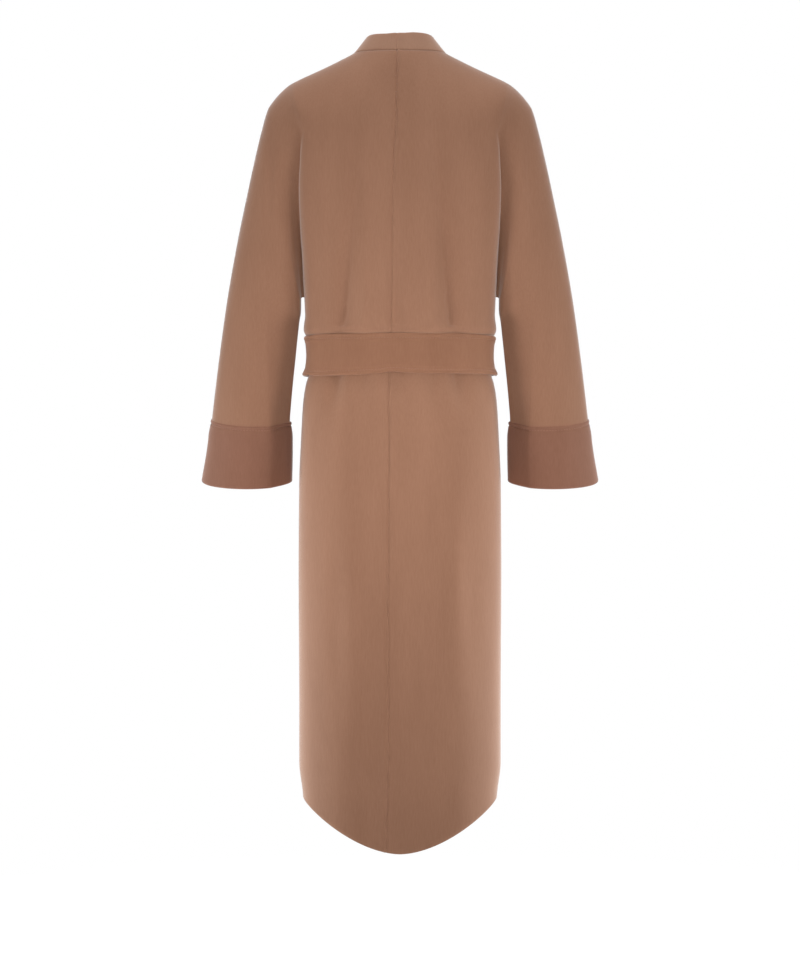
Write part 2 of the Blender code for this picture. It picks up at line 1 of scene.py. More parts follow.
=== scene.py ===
# %% [markdown]
# A long wrap coat in double-faced wool, filled out as on a figure and seen from behind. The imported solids
# already give every piece its place and size. This script gives the cloth its look: finer walls with soft
# creases, sewn edges, stitches, and the short brushed nap of the wool. Everything is in metres, in the
# solids' own frame: +Z up, +X to the wearer's left, and the back faces +Y.

# %% Load the frame
import json
import math

import bpy
import numpy as np
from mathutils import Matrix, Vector

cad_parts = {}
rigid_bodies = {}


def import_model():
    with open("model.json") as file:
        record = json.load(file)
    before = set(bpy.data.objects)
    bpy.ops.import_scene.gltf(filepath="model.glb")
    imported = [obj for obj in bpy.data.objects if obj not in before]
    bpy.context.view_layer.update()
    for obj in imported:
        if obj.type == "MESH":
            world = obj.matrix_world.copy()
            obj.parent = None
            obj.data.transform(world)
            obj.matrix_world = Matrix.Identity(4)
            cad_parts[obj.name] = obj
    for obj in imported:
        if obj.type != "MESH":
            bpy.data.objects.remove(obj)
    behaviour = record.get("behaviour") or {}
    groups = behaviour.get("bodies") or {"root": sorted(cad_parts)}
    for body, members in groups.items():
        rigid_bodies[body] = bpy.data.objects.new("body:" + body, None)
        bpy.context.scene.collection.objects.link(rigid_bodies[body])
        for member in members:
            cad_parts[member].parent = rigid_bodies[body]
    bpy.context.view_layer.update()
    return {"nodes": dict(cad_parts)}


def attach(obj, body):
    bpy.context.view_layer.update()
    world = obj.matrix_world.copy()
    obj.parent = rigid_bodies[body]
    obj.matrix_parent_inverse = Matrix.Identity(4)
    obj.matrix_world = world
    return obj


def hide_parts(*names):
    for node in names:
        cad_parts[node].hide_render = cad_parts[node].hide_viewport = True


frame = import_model()
MM = 0.001
# The wearer's left is at +X
SIDES = {1: "left", -1: "right"}

# %% [markdown]
# The camera comes first. A product photo like this one is taken level, from far away, so that the hem and
# the shoulders keep their true proportions. The scale at the coat's mid-plane and the camera's distance
# give the lens.

# %% Camera
PHOTO_HEIGHT = 960
PIXEL = 1.55 * MM
NECK_ROW = 55
CAMERA_AWAY = 4.0
SENSOR = 36.0

frame_middle = (NECK_ROW - PHOTO_HEIGHT / 2) * PIXEL
bpy.ops.object.camera_add(location=(0, CAMERA_AWAY, frame_middle), rotation=(math.pi / 2, 0, math.pi))
camera = bpy.context.object
camera.data.sensor_width = SENSOR
camera.data.lens = SENSOR * CAMERA_AWAY / (PIXEL * PHOTO_HEIGHT)
bpy.context.scene.camera = camera
print("lens", round(camera.data.lens, 1), "mm at height", round(frame_middle, 4))

# %% [markdown]
# The room, the floor and the cloth are all described by nodes, so a few helpers come next. One turns a
# colour as charts give it into linear light, one fills in a node's inputs, and one adds a node.

# %% Helpers for nodes
def linear(hex_colour):
    """An sRGB hex colour as linear RGBA."""
    srgb = [int(hex_colour[i:i + 2], 16) / 255 for i in (1, 3, 5)]
    return tuple(c / 12.92 if c < 0.04045 else ((c + 0.055) / 1.055) ** 2.4 for c in srgb) + (1.0,)


def set_inputs(owner, node, inputs):
    """Sets a node's inputs by name, as values or as sockets to link."""
    for name, value in inputs.items():
        if isinstance(value, bpy.types.NodeSocket):
            owner.node_tree.links.new(value, node.inputs[name])
        else:
            node.inputs[name].default_value = value


def add_node(owner, kind, inputs=None, **settings):
    """Adds a node to a material or a world, with its settings and inputs."""
    node = owner.node_tree.nodes.new(kind)
    for name, value in settings.items():
        setattr(node, name, value)
    set_inputs(owner, node, inputs or {})
    return node


WHITE = linear("#ffffff")
print("white in linear light:", WHITE)

# %% [markdown]
# Soft studio light: three boxes from behind, in the middle and on either side, with narrow beams at hip
# height, so that the light falls off towards the neck and hem and the body shades the insides of the
# sleeves. A low cool box on each side grazes the skirt, one above lights the shoulders, one the front and
# one the floor, and a white room is around it all. The floor lies where a wearer would stand. It fades out
# a few steps away, so there is no horizon.

# %% Light, room and floor
FLOOR = -1.45
FLOOR_SIZE = 4.0
FLOOR_FADE = (0.35, 1.5)
ROOM_LIGHT = 0.28
NEUTRAL = (1.0, 1.0, 1.0)
COOL = (0.84, 0.95, 1.0)
LIGHTS = {
    # name: place, target, width, height, power in watts, spread of the beam in degrees, colour
    "back_box": ((0.0, 1.3, -0.68), (0, 0, -0.52), 0.8, 0.6, 2.6, 105, NEUTRAL),
    "left_back_box": ((1.6, 1.65, -0.53), (-0.06, 0.05, -0.53), 0.8, 0.6, 1.6, 50, NEUTRAL),
    "right_back_box": ((-1.6, 1.65, -0.53), (0.06, 0.05, -0.53), 0.8, 0.6, 1.6, 50, NEUTRAL),
    "left_box": ((1.8, -0.45, -1.1), (0, 0, -1.04), 0.4, 0.5, 4.4, 40, COOL),
    "right_box": ((-1.8, -0.45, -1.1), (0, 0, -1.04), 0.4, 0.5, 4.4, 40, COOL),
    "top_box": ((0.0, 0.0, 1.3), (0, 0, -0.05), 1.6, 0.8, 27, 180, NEUTRAL),
    "front_box": ((-0.5, -2.6, 0.1), (0, 0, -0.5), 1.6, 1.4, 42, 180, NEUTRAL),
    "floor_box": ((0.0, -1.3, 1.0), (0, -1.3, FLOOR), 1.4, 1.4, 8, 90, NEUTRAL),
}

for name, (place, target, width, height, power, spread, colour) in LIGHTS.items():
    aim = Vector(target) - Vector(place)
    bpy.ops.object.light_add(type="AREA", location=place, rotation=aim.to_track_quat("-Z", "Y").to_euler())
    light = bpy.context.object
    light.name = name
    light.data.shape = "RECTANGLE"
    light.data.size = width
    light.data.size_y = height
    light.data.energy = power
    light.data.spread = math.radians(spread)
    light.data.color = colour

room = bpy.data.worlds.new("white_room")
room.use_nodes = True
lit = room.node_tree.nodes["Background"]
set_inputs(room, lit, {"Color": WHITE, "Strength": ROOM_LIGHT})
seen = add_node(room, "ShaderNodeBackground", {"Color": WHITE})
path = add_node(room, "ShaderNodeLightPath")
either = add_node(room, "ShaderNodeMixShader",
                  {0: path.outputs["Is Camera Ray"], 1: lit.outputs[0], 2: seen.outputs[0]})
set_inputs(room, room.node_tree.nodes["World Output"], {"Surface": either.outputs[0]})
bpy.context.scene.world = room
bpy.context.scene.view_settings.view_transform = "Standard"

bpy.ops.mesh.primitive_plane_add(size=FLOOR_SIZE, location=(0, 0, FLOOR))
floor = bpy.context.object
floor.name = "floor"
print("lights:", ", ".join(LIGHTS))

# %% [markdown]
# Materials start from the real cloth. Double-faced wool is woven, milled until the weave closes up, and
# brushed, so it shows no threads: only a short nap that lies downwards, a faint clouding of the colour, and
# a pale bloom where the fibre ends are seen edge on. Sheen gives the bloom, stretched noise gives the nap.
# The fibres are a fiftieth of a millimetre thick, far finer than a pixel, so the nap is drawn in streaks
# that just show.

# %% Milled wool
# Each noise by its size across, round and down the cloth in millimetres, its detail and its roughness
NAP = ((1.7, 1.7, 16.0), 3.0, 0.6)
CLOUD = ((55.0, 55.0, 240.0), 4.0, 0.55)
FUZZ = ((0.9, 0.9, 0.9), 2.0, 0.6)
NAP_SPAN = (0.3, 0.75)
CLOUD_SPAN = (0.3, 0.7)
# The deeper shade's largest share, from the clouds and again from the nap
SHADE_SHARE = 0.45
NAP_HEIGHT = 0.35 * MM
NAP_STRENGTH = 0.4
ROUGHNESS = (0.82, 0.98)
# Loose fibres scatter light back, hardly shine, and bloom at the edges
SURFACE = {"Diffuse Roughness": 0.9, "Specular IOR Level": 0.15, "Sheen Roughness": 0.3, "Sheen Tint": WHITE}
FLOOR_ROUGHNESS = 0.9


def noise(material, place, kind):
    """The values of one kind of noise at a place."""
    size, detail, roughness = kind
    laid = add_node(material, "ShaderNodeMapping", {"Vector": place, "Scale": [1 / (s * MM) for s in size]})
    grain = {"Vector": laid.outputs[0], "Scale": 1.0, "Detail": detail, "Roughness": roughness}
    return add_node(material, "ShaderNodeTexNoise", grain).outputs[0]


def shaded(material, value, span):
    """The deeper shade's share, by where a value lies in a span."""
    limits = {"Value": value, "From Min": span[0], "From Max": span[1], "To Max": SHADE_SHARE}
    return add_node(material, "ShaderNodeMapRange", limits).outputs[0]


def milled_wool(name, face, shade, bloom):
    """Brushed wool cloth: a matt face colour clouded with a deeper shade, streaked along the nap."""
    material = bpy.data.materials.new(name)
    material.use_nodes = True
    place = add_node(material, "ShaderNodeTexCoord").outputs["Object"]
    nap, cloud, fuzz = (noise(material, place, kind) for kind in (NAP, CLOUD, FUZZ))
    shares = {0: shaded(material, cloud, CLOUD_SPAN), 1: shaded(material, nap, NAP_SPAN)}
    depth = add_node(material, "ShaderNodeMath", shares, operation="ADD")
    colour = add_node(material, "ShaderNodeMix",
                      {"Factor": depth.outputs[0], "A": linear(face), "B": linear(shade)}, data_type="RGBA")
    rough = add_node(material, "ShaderNodeMapRange",
                     {"Value": fuzz, "To Min": ROUGHNESS[0], "To Max": ROUGHNESS[1]})
    height = add_node(material, "ShaderNodeMath", {0: nap, 1: fuzz}, operation="ADD")
    bump = add_node(material, "ShaderNodeBump",
                    {"Height": height.outputs[0], "Distance": NAP_HEIGHT, "Strength": NAP_STRENGTH})
    set_inputs(material, material.node_tree.nodes["Principled BSDF"], {
        "Base Color": colour.outputs["Result"], "Roughness": rough.outputs[0], "Normal": bump.outputs[0],
        "Sheen Weight": bloom, **SURFACE,
    })
    return material


wool = milled_wool("camel_milled_wool", "#a57b63", "#956c55", 0.55)
# The cuffs are the same wool in a darker copy of its colours: painted shade.
wool_cuff_painted_shade = milled_wool("camel_milled_wool_cuff", "#976c59", "#885f4c", 0.35)
# The belt, its knot and its ends are the same wool in a darker copy of its colours: painted shade, where less
# light falls.
wool_belt_painted_shade = milled_wool("camel_milled_wool_belt", "#9f735a", "#8f654e", 0.35)

# The collar is the same wool in a paler, greyer copy of its colours: painted light and sheen.
wool_collar_painted_light = milled_wool("camel_milled_wool_collar", "#b28b74", "#a47d67", 0.55)

pale_floor = bpy.data.materials.new("pale_matt_floor")
pale_floor.use_nodes = True
matt = pale_floor.node_tree.nodes["Principled BSDF"]
set_inputs(pale_floor, matt, {"Base Color": linear("#fbfbfa"), "Roughness": FLOOR_ROUGHNESS})
spot = add_node(pale_floor, "ShaderNodeTexCoord").outputs["Object"]
away = add_node(pale_floor, "ShaderNodeVectorMath", {0: spot}, operation="LENGTH")
faded = add_node(pale_floor, "ShaderNodeMapRange",
                 {"Value": away.outputs["Value"], "From Min": FLOOR_FADE[0], "From Max": FLOOR_FADE[1]},
                 interpolation_type="SMOOTHSTEP")
clear = add_node(pale_floor, "ShaderNodeBsdfTransparent")
blend = add_node(pale_floor, "ShaderNodeMixShader",
                 {0: faded.outputs[0], 1: matt.outputs[0], 2: clear.outputs[0]})
set_inputs(pale_floor, pale_floor.node_tree.nodes["Material Output"], {"Surface": blend.outputs[0]})
floor.data.materials.append(pale_floor)
print("materials:", ", ".join(m.name for m in (wool, wool_cuff_painted_shade, wool_belt_painted_shade, wool_collar_painted_light, pale_floor)))

# %% [markdown]
# The cloth follows the same sections as the solids. A short table gives each section of the body by its
# height, and a smooth curve through the rows gives any height between them. A tailor's block works the same
# way: a few measures, joined by curves.

# %% Tables and curves
def table(columns, rows):
    """Rows of millimetres as named columns of metres, in rising order of the first column."""
    ordered = np.array(sorted(rows), float) * MM
    return {name: ordered[:, i] for i, name in enumerate(columns.split())}


def between(rows, column, place):
    """A table's column at a place between its rows, on a curve that doesn't overshoot them."""
    x = rows[next(iter(rows))]
    y = rows[column]
    step = np.diff(x)
    slope = np.diff(y) / step
    tangent = np.concatenate([slope[:1], np.zeros(len(x) - 2), slope[-1:]])
    for i in range(1, len(x) - 1):
        if slope[i - 1] * slope[i] > 0:
            tangent[i] = 2 / (1 / slope[i - 1] + 1 / slope[i])
    place = np.clip(np.asarray(place, float), x[0], x[-1])
    i = np.clip(np.searchsorted(x, place) - 1, 0, len(step) - 1)
    t = (place - x[i]) / step[i]
    blend = t * t * (3 - 2 * t)
    start_pull = (t - 2 * t * t + t ** 3) * step[i]
    end_pull = (t ** 3 - t * t) * step[i]
    return y[i] * (1 - blend) + y[i + 1] * blend + tangent[i] * start_pull + tangent[i + 1] * end_pull


def smooth_step(value, low, high):
    """0 at low, 1 at high, with an even ease between them. Low may be above high."""
    t = np.clip((value - low) / (high - low), 0, 1)
    return t * t * (3 - 2 * t)


def unit(vectors):
    """Vectors of length one."""
    return vectors / np.linalg.norm(vectors, axis=-1, keepdims=True)


def hump(value, place, width):
    """1 at a place, falling off softly on both sides of it."""
    return np.exp(-((value - place) / width) ** 2)


def near_edge(away, width):
    """1 at an edge, easing to 0 at a distance from it."""
    return np.clip(1 - away / width, 0, 1) ** 2


print("curves: a quarter of the way up a soft step is", float(smooth_step(0.25, 0, 1)))

# %% Sizes of the body
CLOTH = 3.0 * MM
LAYER_GAP = 0.3 * MM
LAP_GAP = 1.6 * MM
LAP_MARGIN = 18.0 * MM
LAP_FADE = 60.0 * MM
LAP_SIDE_SHARE = 0.98
NECK_HALF_WIDTH = 73.6 * MM
NECK_BACK_DEPTH = 70.0 * MM
NECK_BACK_DROP = 4.0 * MM
NECK_ROUNDNESS = 0.25
SHOULDER_POINT = 172.0 * MM
YOKE_BOTTOM = -130.0 * MM
SQUARENESS = 2.4
BELT_MIDDLE = -466.8 * MM
SLIT_TOP = -1093.0 * MM
HEM_CENTRE = -1223.0 * MM
HEM_RISE = 73.5 * MM
HEM_HALF_WIDTH = 149.0 * MM
HEM_CURVE = 1.75

# Half width, depth behind and before the mid-plane, and how far the side edges stand apart
TORSO = table("height half_width back front edge", [
    (-130, 150.0, 106, 98, 68), (-166, 152.6, 109, 102, 54), (-215, 155.0, 111, 106, 40),
    (-267, 153.7, 111, 108, 27), (-320, 150.5, 108, 106, 15), (-358, 149.0, 105.3, 103, 5.5),
    (-376, 148.2, 103.8, 100.2, 0), (-402, 147.0, 101.6, 97.6, 0), (-426, 145.4, 99.5, 94.5, 0),
    (-437, 141.2, 94, 89, 0), (-467, 140.0, 92, 87, 0), (-497, 141.6, 94, 89, 0),
    (-508, 145.0, 97.6, 91.6, 0), (-527, 148.6, 103, 95.3, 0), (-545, 150.5, 107, 98, 0),
    (-600, 153.5, 115, 104, 0),
    (-660, 156.0, 119, 108, 0), (-800, 157.0, 121, 110, 0), (-1000, 156.0, 120, 109, 0),
    (-1093, 156.0, 119, 108, 0), (-1150, 149.6, 113, 103, 12), (-1230, 149.0, 112, 102, 12),
])
SHOULDER = table("across height", [
    (73.6, 0), (93.8, -10.85), (119.4, -23.25), (136.4, -31.0), (153.5, -38.75), (172.0, -48.0),
])
BACK_SEAM = table("height across", [
    (0, 4.6), (-130, 7.5), (-225, 11.5), (-410, 13.0), (-505, 17.0), (-780, 17.5), (-1060, 16.5),
    (-1230, 21.0),
])
FRONT_EDGE = table("height seam opening", [
    (0, -73.6, -52), (-60, -82, -52), (-120, -76, -42), (-180, -60, -24), (-240, -37, 0),
    (-300, -10, 28), (-360, 18, 56), (-420, 45, 82), (-461, 57, 95), (-480, 96, 96),
    (-560, 97, 97), (-1230, 97, 97),
])
print("body sections:", len(TORSO["height"]), "from", TORSO["height"][0], "to", TORSO["height"][-1])

# %% [markdown]
# The creases are placed as they lie in the photo. A fold fades at both ends. A gather is deepest
# where the belt pulls the cloth in, and fades away from it. Each is a line across the cloth with a little
# bow, a half width and a depth. A negative depth is a soft ridge. The hidden front has similar ones.

# %% Creases
BELT_PRESS = 0.75
PRESS_TOP = (-420.0 * MM, -434.0 * MM)
PRESS_BOTTOM = (-496.0 * MM, -470.0 * MM)
# A gather is a valley with straighter walls than a fold's
VALLEY_WIDTH = 0.7
VALLEY_ROUND = 0.35
# How far past its start, as a share of its length, a gather fades under the belt
GATHER_LEAD = 0.4
CREASE_COLUMNS = "across height to_across to_height bow half_width depth"
BACK_FOLDS = table(CREASE_COLUMNS, [
    (34, -530, 34, -1210, 4, 32, 6.0), (-66, -560, -72, -1150, -8, 22, 3.0),
    (200, -104, 206, -280, 4, 7, 3.2), (-200, -104, -206, -280, -4, 7, 3.2),
    (104, -640, 98, -1100, 5, 18, 2.6), (-112, -600, -116, -1040, -5, 16, 2.4),
    (-22, -720, -30, -1180, -6, 16, 2.4),
])
BACK_GATHERS = table(CREASE_COLUMNS, [
    (93, -437, 51, -60, 2, 17, 17.5), (8, -437, 14, -160, 2, 17, 12.0),
    (-84, -437, -40, -60, -2, 16, 18.5), (54, -437, 44, -250, 2, 13, -4.0),
    (-50, -437, -34, -200, 0, 14, -7.0), (142, -437, 134, -270, 2, 12, -2.6),
    (-118, -437, -112, -250, -2, 13, -3.4), (34, -437, 36, -330, 1, 9, 3.4),
    (-22, -437, -26, -320, -1, 8, 3.0), (106, -496, 110, -566, 1, 10, 6.6),
    (58, -496, 60, -570, 1, 10, 5.2), (-3, -496, 0, -566, 1, 9, 5.2),
    (-52, -496, -54, -568, -1, 9, 5.0), (-102, -496, -108, -574, -2, 10, 7.0),
    (82, -496, 84, -556, 0, 9, -2.0), (33, -496, 34, -560, 0, 9, -1.4),
    (-30, -496, -30, -560, 0, 9, -2.0), (-76, -496, -78, -556, 0, 9, -1.6),
    (163, -376, 168, -125, 0, 9, 4.2), (-163, -376, -168, -125, 0, 9, 4.2),
])
FRONT_FOLDS = table(CREASE_COLUMNS, [
    (-70, -560, -76, -1150, -6, 30, 3.4), (20, -600, 14, -1100, 6, 26, 2.6),
    (-118, -640, -114, -1080, -5, 18, 2.0), (124, -620, 128, -1060, 5, 15, 1.9),
    (200, -110, 206, -300, 4, 9, 2.6), (-200, -110, -206, -300, -4, 9, 2.6),
    (168, -330, 232, -372, -5, 9, 3.0), (172, -372, 238, -420, -4, 10, 2.6),
    (-168, -332, -232, -370, 5, 9, 3.0), (-172, -374, -240, -418, 4, 10, 2.6),
])
FRONT_GATHERS = table(CREASE_COLUMNS, [
    (-88, -437, -80, -215, -4, 15, 5.2), (-40, -437, -58, -300, -3, 13, 3.4),
    (-122, -437, -116, -270, -2, 13, -2.0), (96, -437, 92, -230, 3, 14, 4.8),
    (122, -437, 118, -280, 2, 13, -2.0), (-64, -437, -66, -290, 0, 11, -1.8),
    (-108, -496, -112, -566, -2, 9, 3.0), (-60, -496, -64, -570, -2, 10, 3.0),
    (-12, -496, -22, -576, -3, 9, 3.0), (52, -496, 62, -568, 3, 9, 2.8),
    (108, -496, 112, -562, 2, 8, 2.6), (-36, -496, -40, -558, 0, 9, -1.4), (80, -496, 84, -556, 0, 9, -1.4),
])


def crease_depth(folds, gathers, x, z):
    """How far the creases sink at places across and up the cloth."""
    sunk = np.zeros(np.broadcast(x, z).shape)
    for rows, gathered in ((folds, False), (gathers, True)):
        for across, height, to_across, to_height, bow, half_width, depth in zip(*rows.values()):
            run = np.array([to_across - across, to_height - height])
            length = np.hypot(*run)
            along = ((x - across) * run[0] + (z - height) * run[1]) / length ** 2
            aside = ((x - across) * run[1] - (z - height) * run[0]) / length - 4 * bow * along * (1 - along)
            if gathered:
                taper = (1 - smooth_step(along, 0, 1)) * smooth_step(along, -GATHER_LEAD, 0)
                valley = np.exp(VALLEY_ROUND - np.hypot(aside / half_width / VALLEY_WIDTH, VALLEY_ROUND))
            else:
                taper = np.sin(math.pi * np.clip(along, 0, 1)) ** 2
                valley = hump(aside, 0, half_width)
            sunk = sunk + depth * valley * taper
    return sunk


def creased(points, normals):
    """How far a sheet sinks at its points, by the creases on its side, less where the belt presses."""
    x, z = points[..., 0], points[..., 2]
    toward = normals[..., 1]
    pressed = smooth_step(z, *PRESS_TOP) * smooth_step(z, *PRESS_BOTTOM)
    sunk = (crease_depth(BACK_FOLDS, BACK_GATHERS, x, z) * np.clip(toward, 0, 1)
            + crease_depth(FRONT_FOLDS, FRONT_GATHERS, x, z) * np.clip(-toward, 0, 1))
    return sunk * (1 - BELT_PRESS * pressed)


print("creases:", sum(len(t["across"]) for t in (BACK_FOLDS, BACK_GATHERS, FRONT_FOLDS, FRONT_GATHERS)))

# %% [markdown]
# Each half of the back and of the front is a sheet of cloth whose rows run round the body and whose columns
# run down it. The rows stand closer under the belt, where the gathers are, and the columns closer beside
# the seams, where the edges roll in. The first rows round over the shoulder.

# %% Rows and columns
YOKE_SPANS = 22
HEM_SPANS = 26
# Stretches down the body in millimetres, with the rows in each
ROW_STRETCHES = ((-130, -376, 58), (-376, -424, 11), (-424, -441, 14), (-441, -497, 9), (-497, -560, 22),
                 (-560, -1093, 84))
ARM_ROWS = YOKE_SPANS + ROW_STRETCHES[0][2]
NEAR_SEAM = (0, 0.01, 0.02, 0.035, 0.05, 0.07, 0.10, 0.14, 0.19)
NEAR_SIDE = (0.03, 0.02, 0.012, 0.007, 0.003, 0)
NEAR_EDGE = (0, 0.005, 0.011, 0.02, 0.032)
# Where the even columns start after the close ones
AFTER_SEAM = 0.25
AFTER_EDGE = 0.05
HEM_PASSES = 3
NECK_FALL = 0.75
NECK_SPANS = 24
BACK_SPANS = 34
FRONT_SPANS = 52


def stretched(stretches):
    """Places along stretches of millimetres, evenly spaced in each, as metres."""
    parts = [np.linspace(a, b, n, endpoint=False) for a, b, n in stretches]
    return np.concatenate(parts + [[stretches[-1][1]]]) * MM


def hem_height(x):
    """Height of the curved hem at a distance across the coat."""
    across = np.clip(np.abs(x) / HEM_HALF_WIDTH, 0, 1)
    return HEM_CENTRE + HEM_RISE * across ** HEM_CURVE


def body_depth(side, x, height):
    """How far the cloth stands from the mid-plane, behind it for side 1 and before it for side -1."""
    full = between(TORSO, "back" if side > 0 else "front", height)
    edge = between(TORSO, "edge", height)
    across = np.clip(np.abs(x) / between(TORSO, "half_width", height), 0, 1)
    round_side = (1 - across ** SQUARENESS) ** (1 / SQUARENESS)
    return edge + (full - edge) * round_side


def lap_depth(x, height):
    """How far the left front sinks where it lies under the right one."""
    opening = between(FRONT_EDGE, "opening", height)
    width = between(TORSO, "half_width", height)
    end = np.minimum(opening + LAP_FADE, LAP_SIDE_SHARE * width)
    across = np.clip(np.abs(x) / width, 0, LAP_SIDE_SHARE)
    turn_in = across ** (SQUARENESS - 1) * (1 - across ** SQUARENESS) ** (1 / SQUARENESS - 1)
    slant = np.hypot(1, turn_in * between(TORSO, "front", height) / width)
    return (CLOTH + LAP_GAP) * slant * smooth_step(x, end, opening + LAP_MARGIN)


def panel_rows(x_at):
    """The rows from the yoke's bottom to the hem: where each column is across the coat, and its height."""
    rows = []
    for height in heights:
        x = x_at(height)
        rows.append((x, np.full(len(x), height)))
    for k in range(1, HEM_SPANS + 1):
        x = x_at(SLIT_TOP)
        for _ in range(HEM_PASSES):
            height = SLIT_TOP + (hem_height(x) - SLIT_TOP) * k / HEM_SPANS
            x = x_at(height)
        rows.append((x, height))
    return rows


def yoke_rows(top, full, roundness):
    """Rows that round over the shoulder, from the top edge down to the first full section."""
    rows = []
    for k in range(YOKE_SPANS):
        turn = math.pi / 2 * k / YOKE_SPANS
        fall = 1 - math.cos(turn)
        bulge = roundness * math.sin(turn) + (1 - roundness) * fall ** NECK_FALL
        reach = np.stack([np.full(len(top), fall ** 2), bulge, np.full(len(top), fall)], axis=1)
        rows.append(top + (full - top) * reach)
    return rows


heights = stretched(ROW_STRETCHES)
print("rows down the body:", YOKE_SPANS + len(heights) + HEM_SPANS)

# %% Back and front sheets
def back_grid(side):
    """Outer points of one back, columns from the centre-back seam to the side."""
    neck_share = NECK_HALF_WIDTH / SHOULDER_POINT
    neck_angle = math.asin(neck_share ** (SQUARENESS / 2))
    close = np.concatenate([NEAR_SEAM, np.linspace(AFTER_SEAM, 1, NECK_SPANS - len(NEAR_SEAM) + 1)])
    beyond = np.linspace(neck_angle, math.pi / 2 - NEAR_SIDE[0], BACK_SPANS, endpoint=False)[1:]
    angles = np.concatenate([beyond, math.pi / 2 - np.array(NEAR_SIDE)])
    shares = np.concatenate([neck_share * close, np.sin(angles) ** (2 / SQUARENESS)])
    at_neck = np.arange(len(shares)) <= NECK_SPANS

    def x_at(height):
        width = side * between(TORSO, "half_width", height)
        seam = between(BACK_SEAM, "across", height)
        return np.where(at_neck, seam + (width * neck_share - seam) * shares / neck_share, width * shares)

    rows = [np.stack([x, body_depth(1, x, h), h], axis=1) for x, h in panel_rows(x_at)]
    seam = between(BACK_SEAM, "across", 0.0)
    on_neck = seam + (side * NECK_HALF_WIDTH - seam) * np.minimum(shares / neck_share, 1)
    on_shoulder = (SHOULDER_POINT - NECK_HALF_WIDTH) * np.clip((shares - neck_share) / (1 - neck_share), 0, 1)
    ring = np.sqrt(np.clip(1 - (on_neck / NECK_HALF_WIDTH) ** 2, 0, 1))
    x = on_neck + side * on_shoulder
    y = NECK_BACK_DEPTH * ring
    z = between(SHOULDER, "height", np.abs(x)) - NECK_BACK_DROP * ring ** 2
    roundness = NECK_ROUNDNESS + (1 - NECK_ROUNDNESS) * smooth_step(np.abs(on_neck), 0, NECK_HALF_WIDTH)
    return np.array(yoke_rows(np.stack([x, y, z], axis=1), rows[0], roundness) + rows)


def front_grid(side):
    """Outer points of one front, columns from its edge to the side."""
    middle = np.linspace(AFTER_EDGE, math.pi / 2 - NEAR_SIDE[0], FRONT_SPANS - 10)
    angles = np.concatenate([NEAR_EDGE, middle, math.pi / 2 - np.array(NEAR_SIDE[1:])])
    shares = np.sin(angles)

    def x_at(height):
        width = side * between(TORSO, "half_width", height)
        edge = -side * between(FRONT_EDGE, "seam", height)
        return edge + (width - edge) * shares

    def depth(x, height):
        return body_depth(-1, x, height) - (lap_depth(x, height) if side > 0 else 0)

    rows = [np.stack([x, -depth(x, h), h], axis=1) for x, h in panel_rows(x_at)]
    across = NECK_HALF_WIDTH + (SHOULDER_POINT - NECK_HALF_WIDTH) * shares
    line = between(SHOULDER, "height", across)
    top = np.stack([side * across, np.zeros(len(shares)), line], axis=1)
    yoke = yoke_rows(top, rows[0], np.ones(len(shares)))
    for row in yoke[1:]:
        edge = -side * between(FRONT_EDGE, "seam", row[0, 2])
        row[:, 0] += (edge - row[0, 0]) * (1 - shares)
    return np.array(yoke + rows)


bodies = {("back", s): back_grid(s) for s in SIDES}
bodies.update({("front", s): front_grid(s) for s in SIDES})
print("sheets:", {SIDES[s] + "_" + name: grid.shape[:2] for (name, s), grid in bodies.items()})

# %% [markdown]
# A kimono sleeve has no armhole seam. Its sections start from the line where the body leaves off, lose that
# outline down the upper arm, and become plain ovals that lean forward to the wrist. Half of each oval
# belongs to the back sheet and half to the front one.

# %% Sleeve sections
SLEEVE = table("along out_x out_z in_x in_z half_depth centre_y", [
    (0, 172.0, -48, 148.2, -376, 42, 0), (5, 176.0, -51, 152.0, -377, 43, 0),
    (23, 190.0, -62, 152.6, -379, 48, 0), (50, 204.6, -85, 152.8, -381, 53, -1),
    (82, 213.9, -116, 152.8, -384, 57, -2), (131, 225.5, -163, 152.8, -388, 60, -5),
    (194, 239.2, -225, 152.8, -393, 62, -9), (257, 252.5, -287, 153.0, -399, 63, -15),
    (352, 269.6, -380, 155.3, -411, 62, -24), (429, 281.0, -457, 161.7, -467, 61, -33),
    (508, 291.3, -535, 169.4, -541, 61, -43), (540, 295.0, -566, 171.4, -570, 61, -47),
    (575, 298.5, -601, 171.4, -604, 61.5, -51), (634, 308.4, -658, 172.6, -659, 63, -58),
])
STATION_STRETCHES = ((0, 30, 10), (30, 131, 24), (131, 352, 40), (352, 530, 36), (530, 634, 14))
SLEEVE_SWING = math.radians(10.5)
SWING_START = 60.0 * MM
SWING_FULL = 400.0 * MM
# How much of the armhole's own outline is left, by distance down the sleeve
FADE_ALONG = np.array((0, 5, 14, 30, 50, 82, 131)) * MM
FADE_SHARE = (1.0, 1.0, 0.8, 0.52, 0.28, 0.1, 0.0)
# From elbow to wrist the sleeve's inside falls flat from a crease: how wide it is, and how flat in hundredths
SLEEVE_FLAT = table("along wide hundredths", [
    (0, 62, 0), (230, 62, 0), (352, 52, 40), (429, 42, 80), (508, 32, 115), (540, 30, 95), (575, 30, 60),
    (634, 30, 50),
])


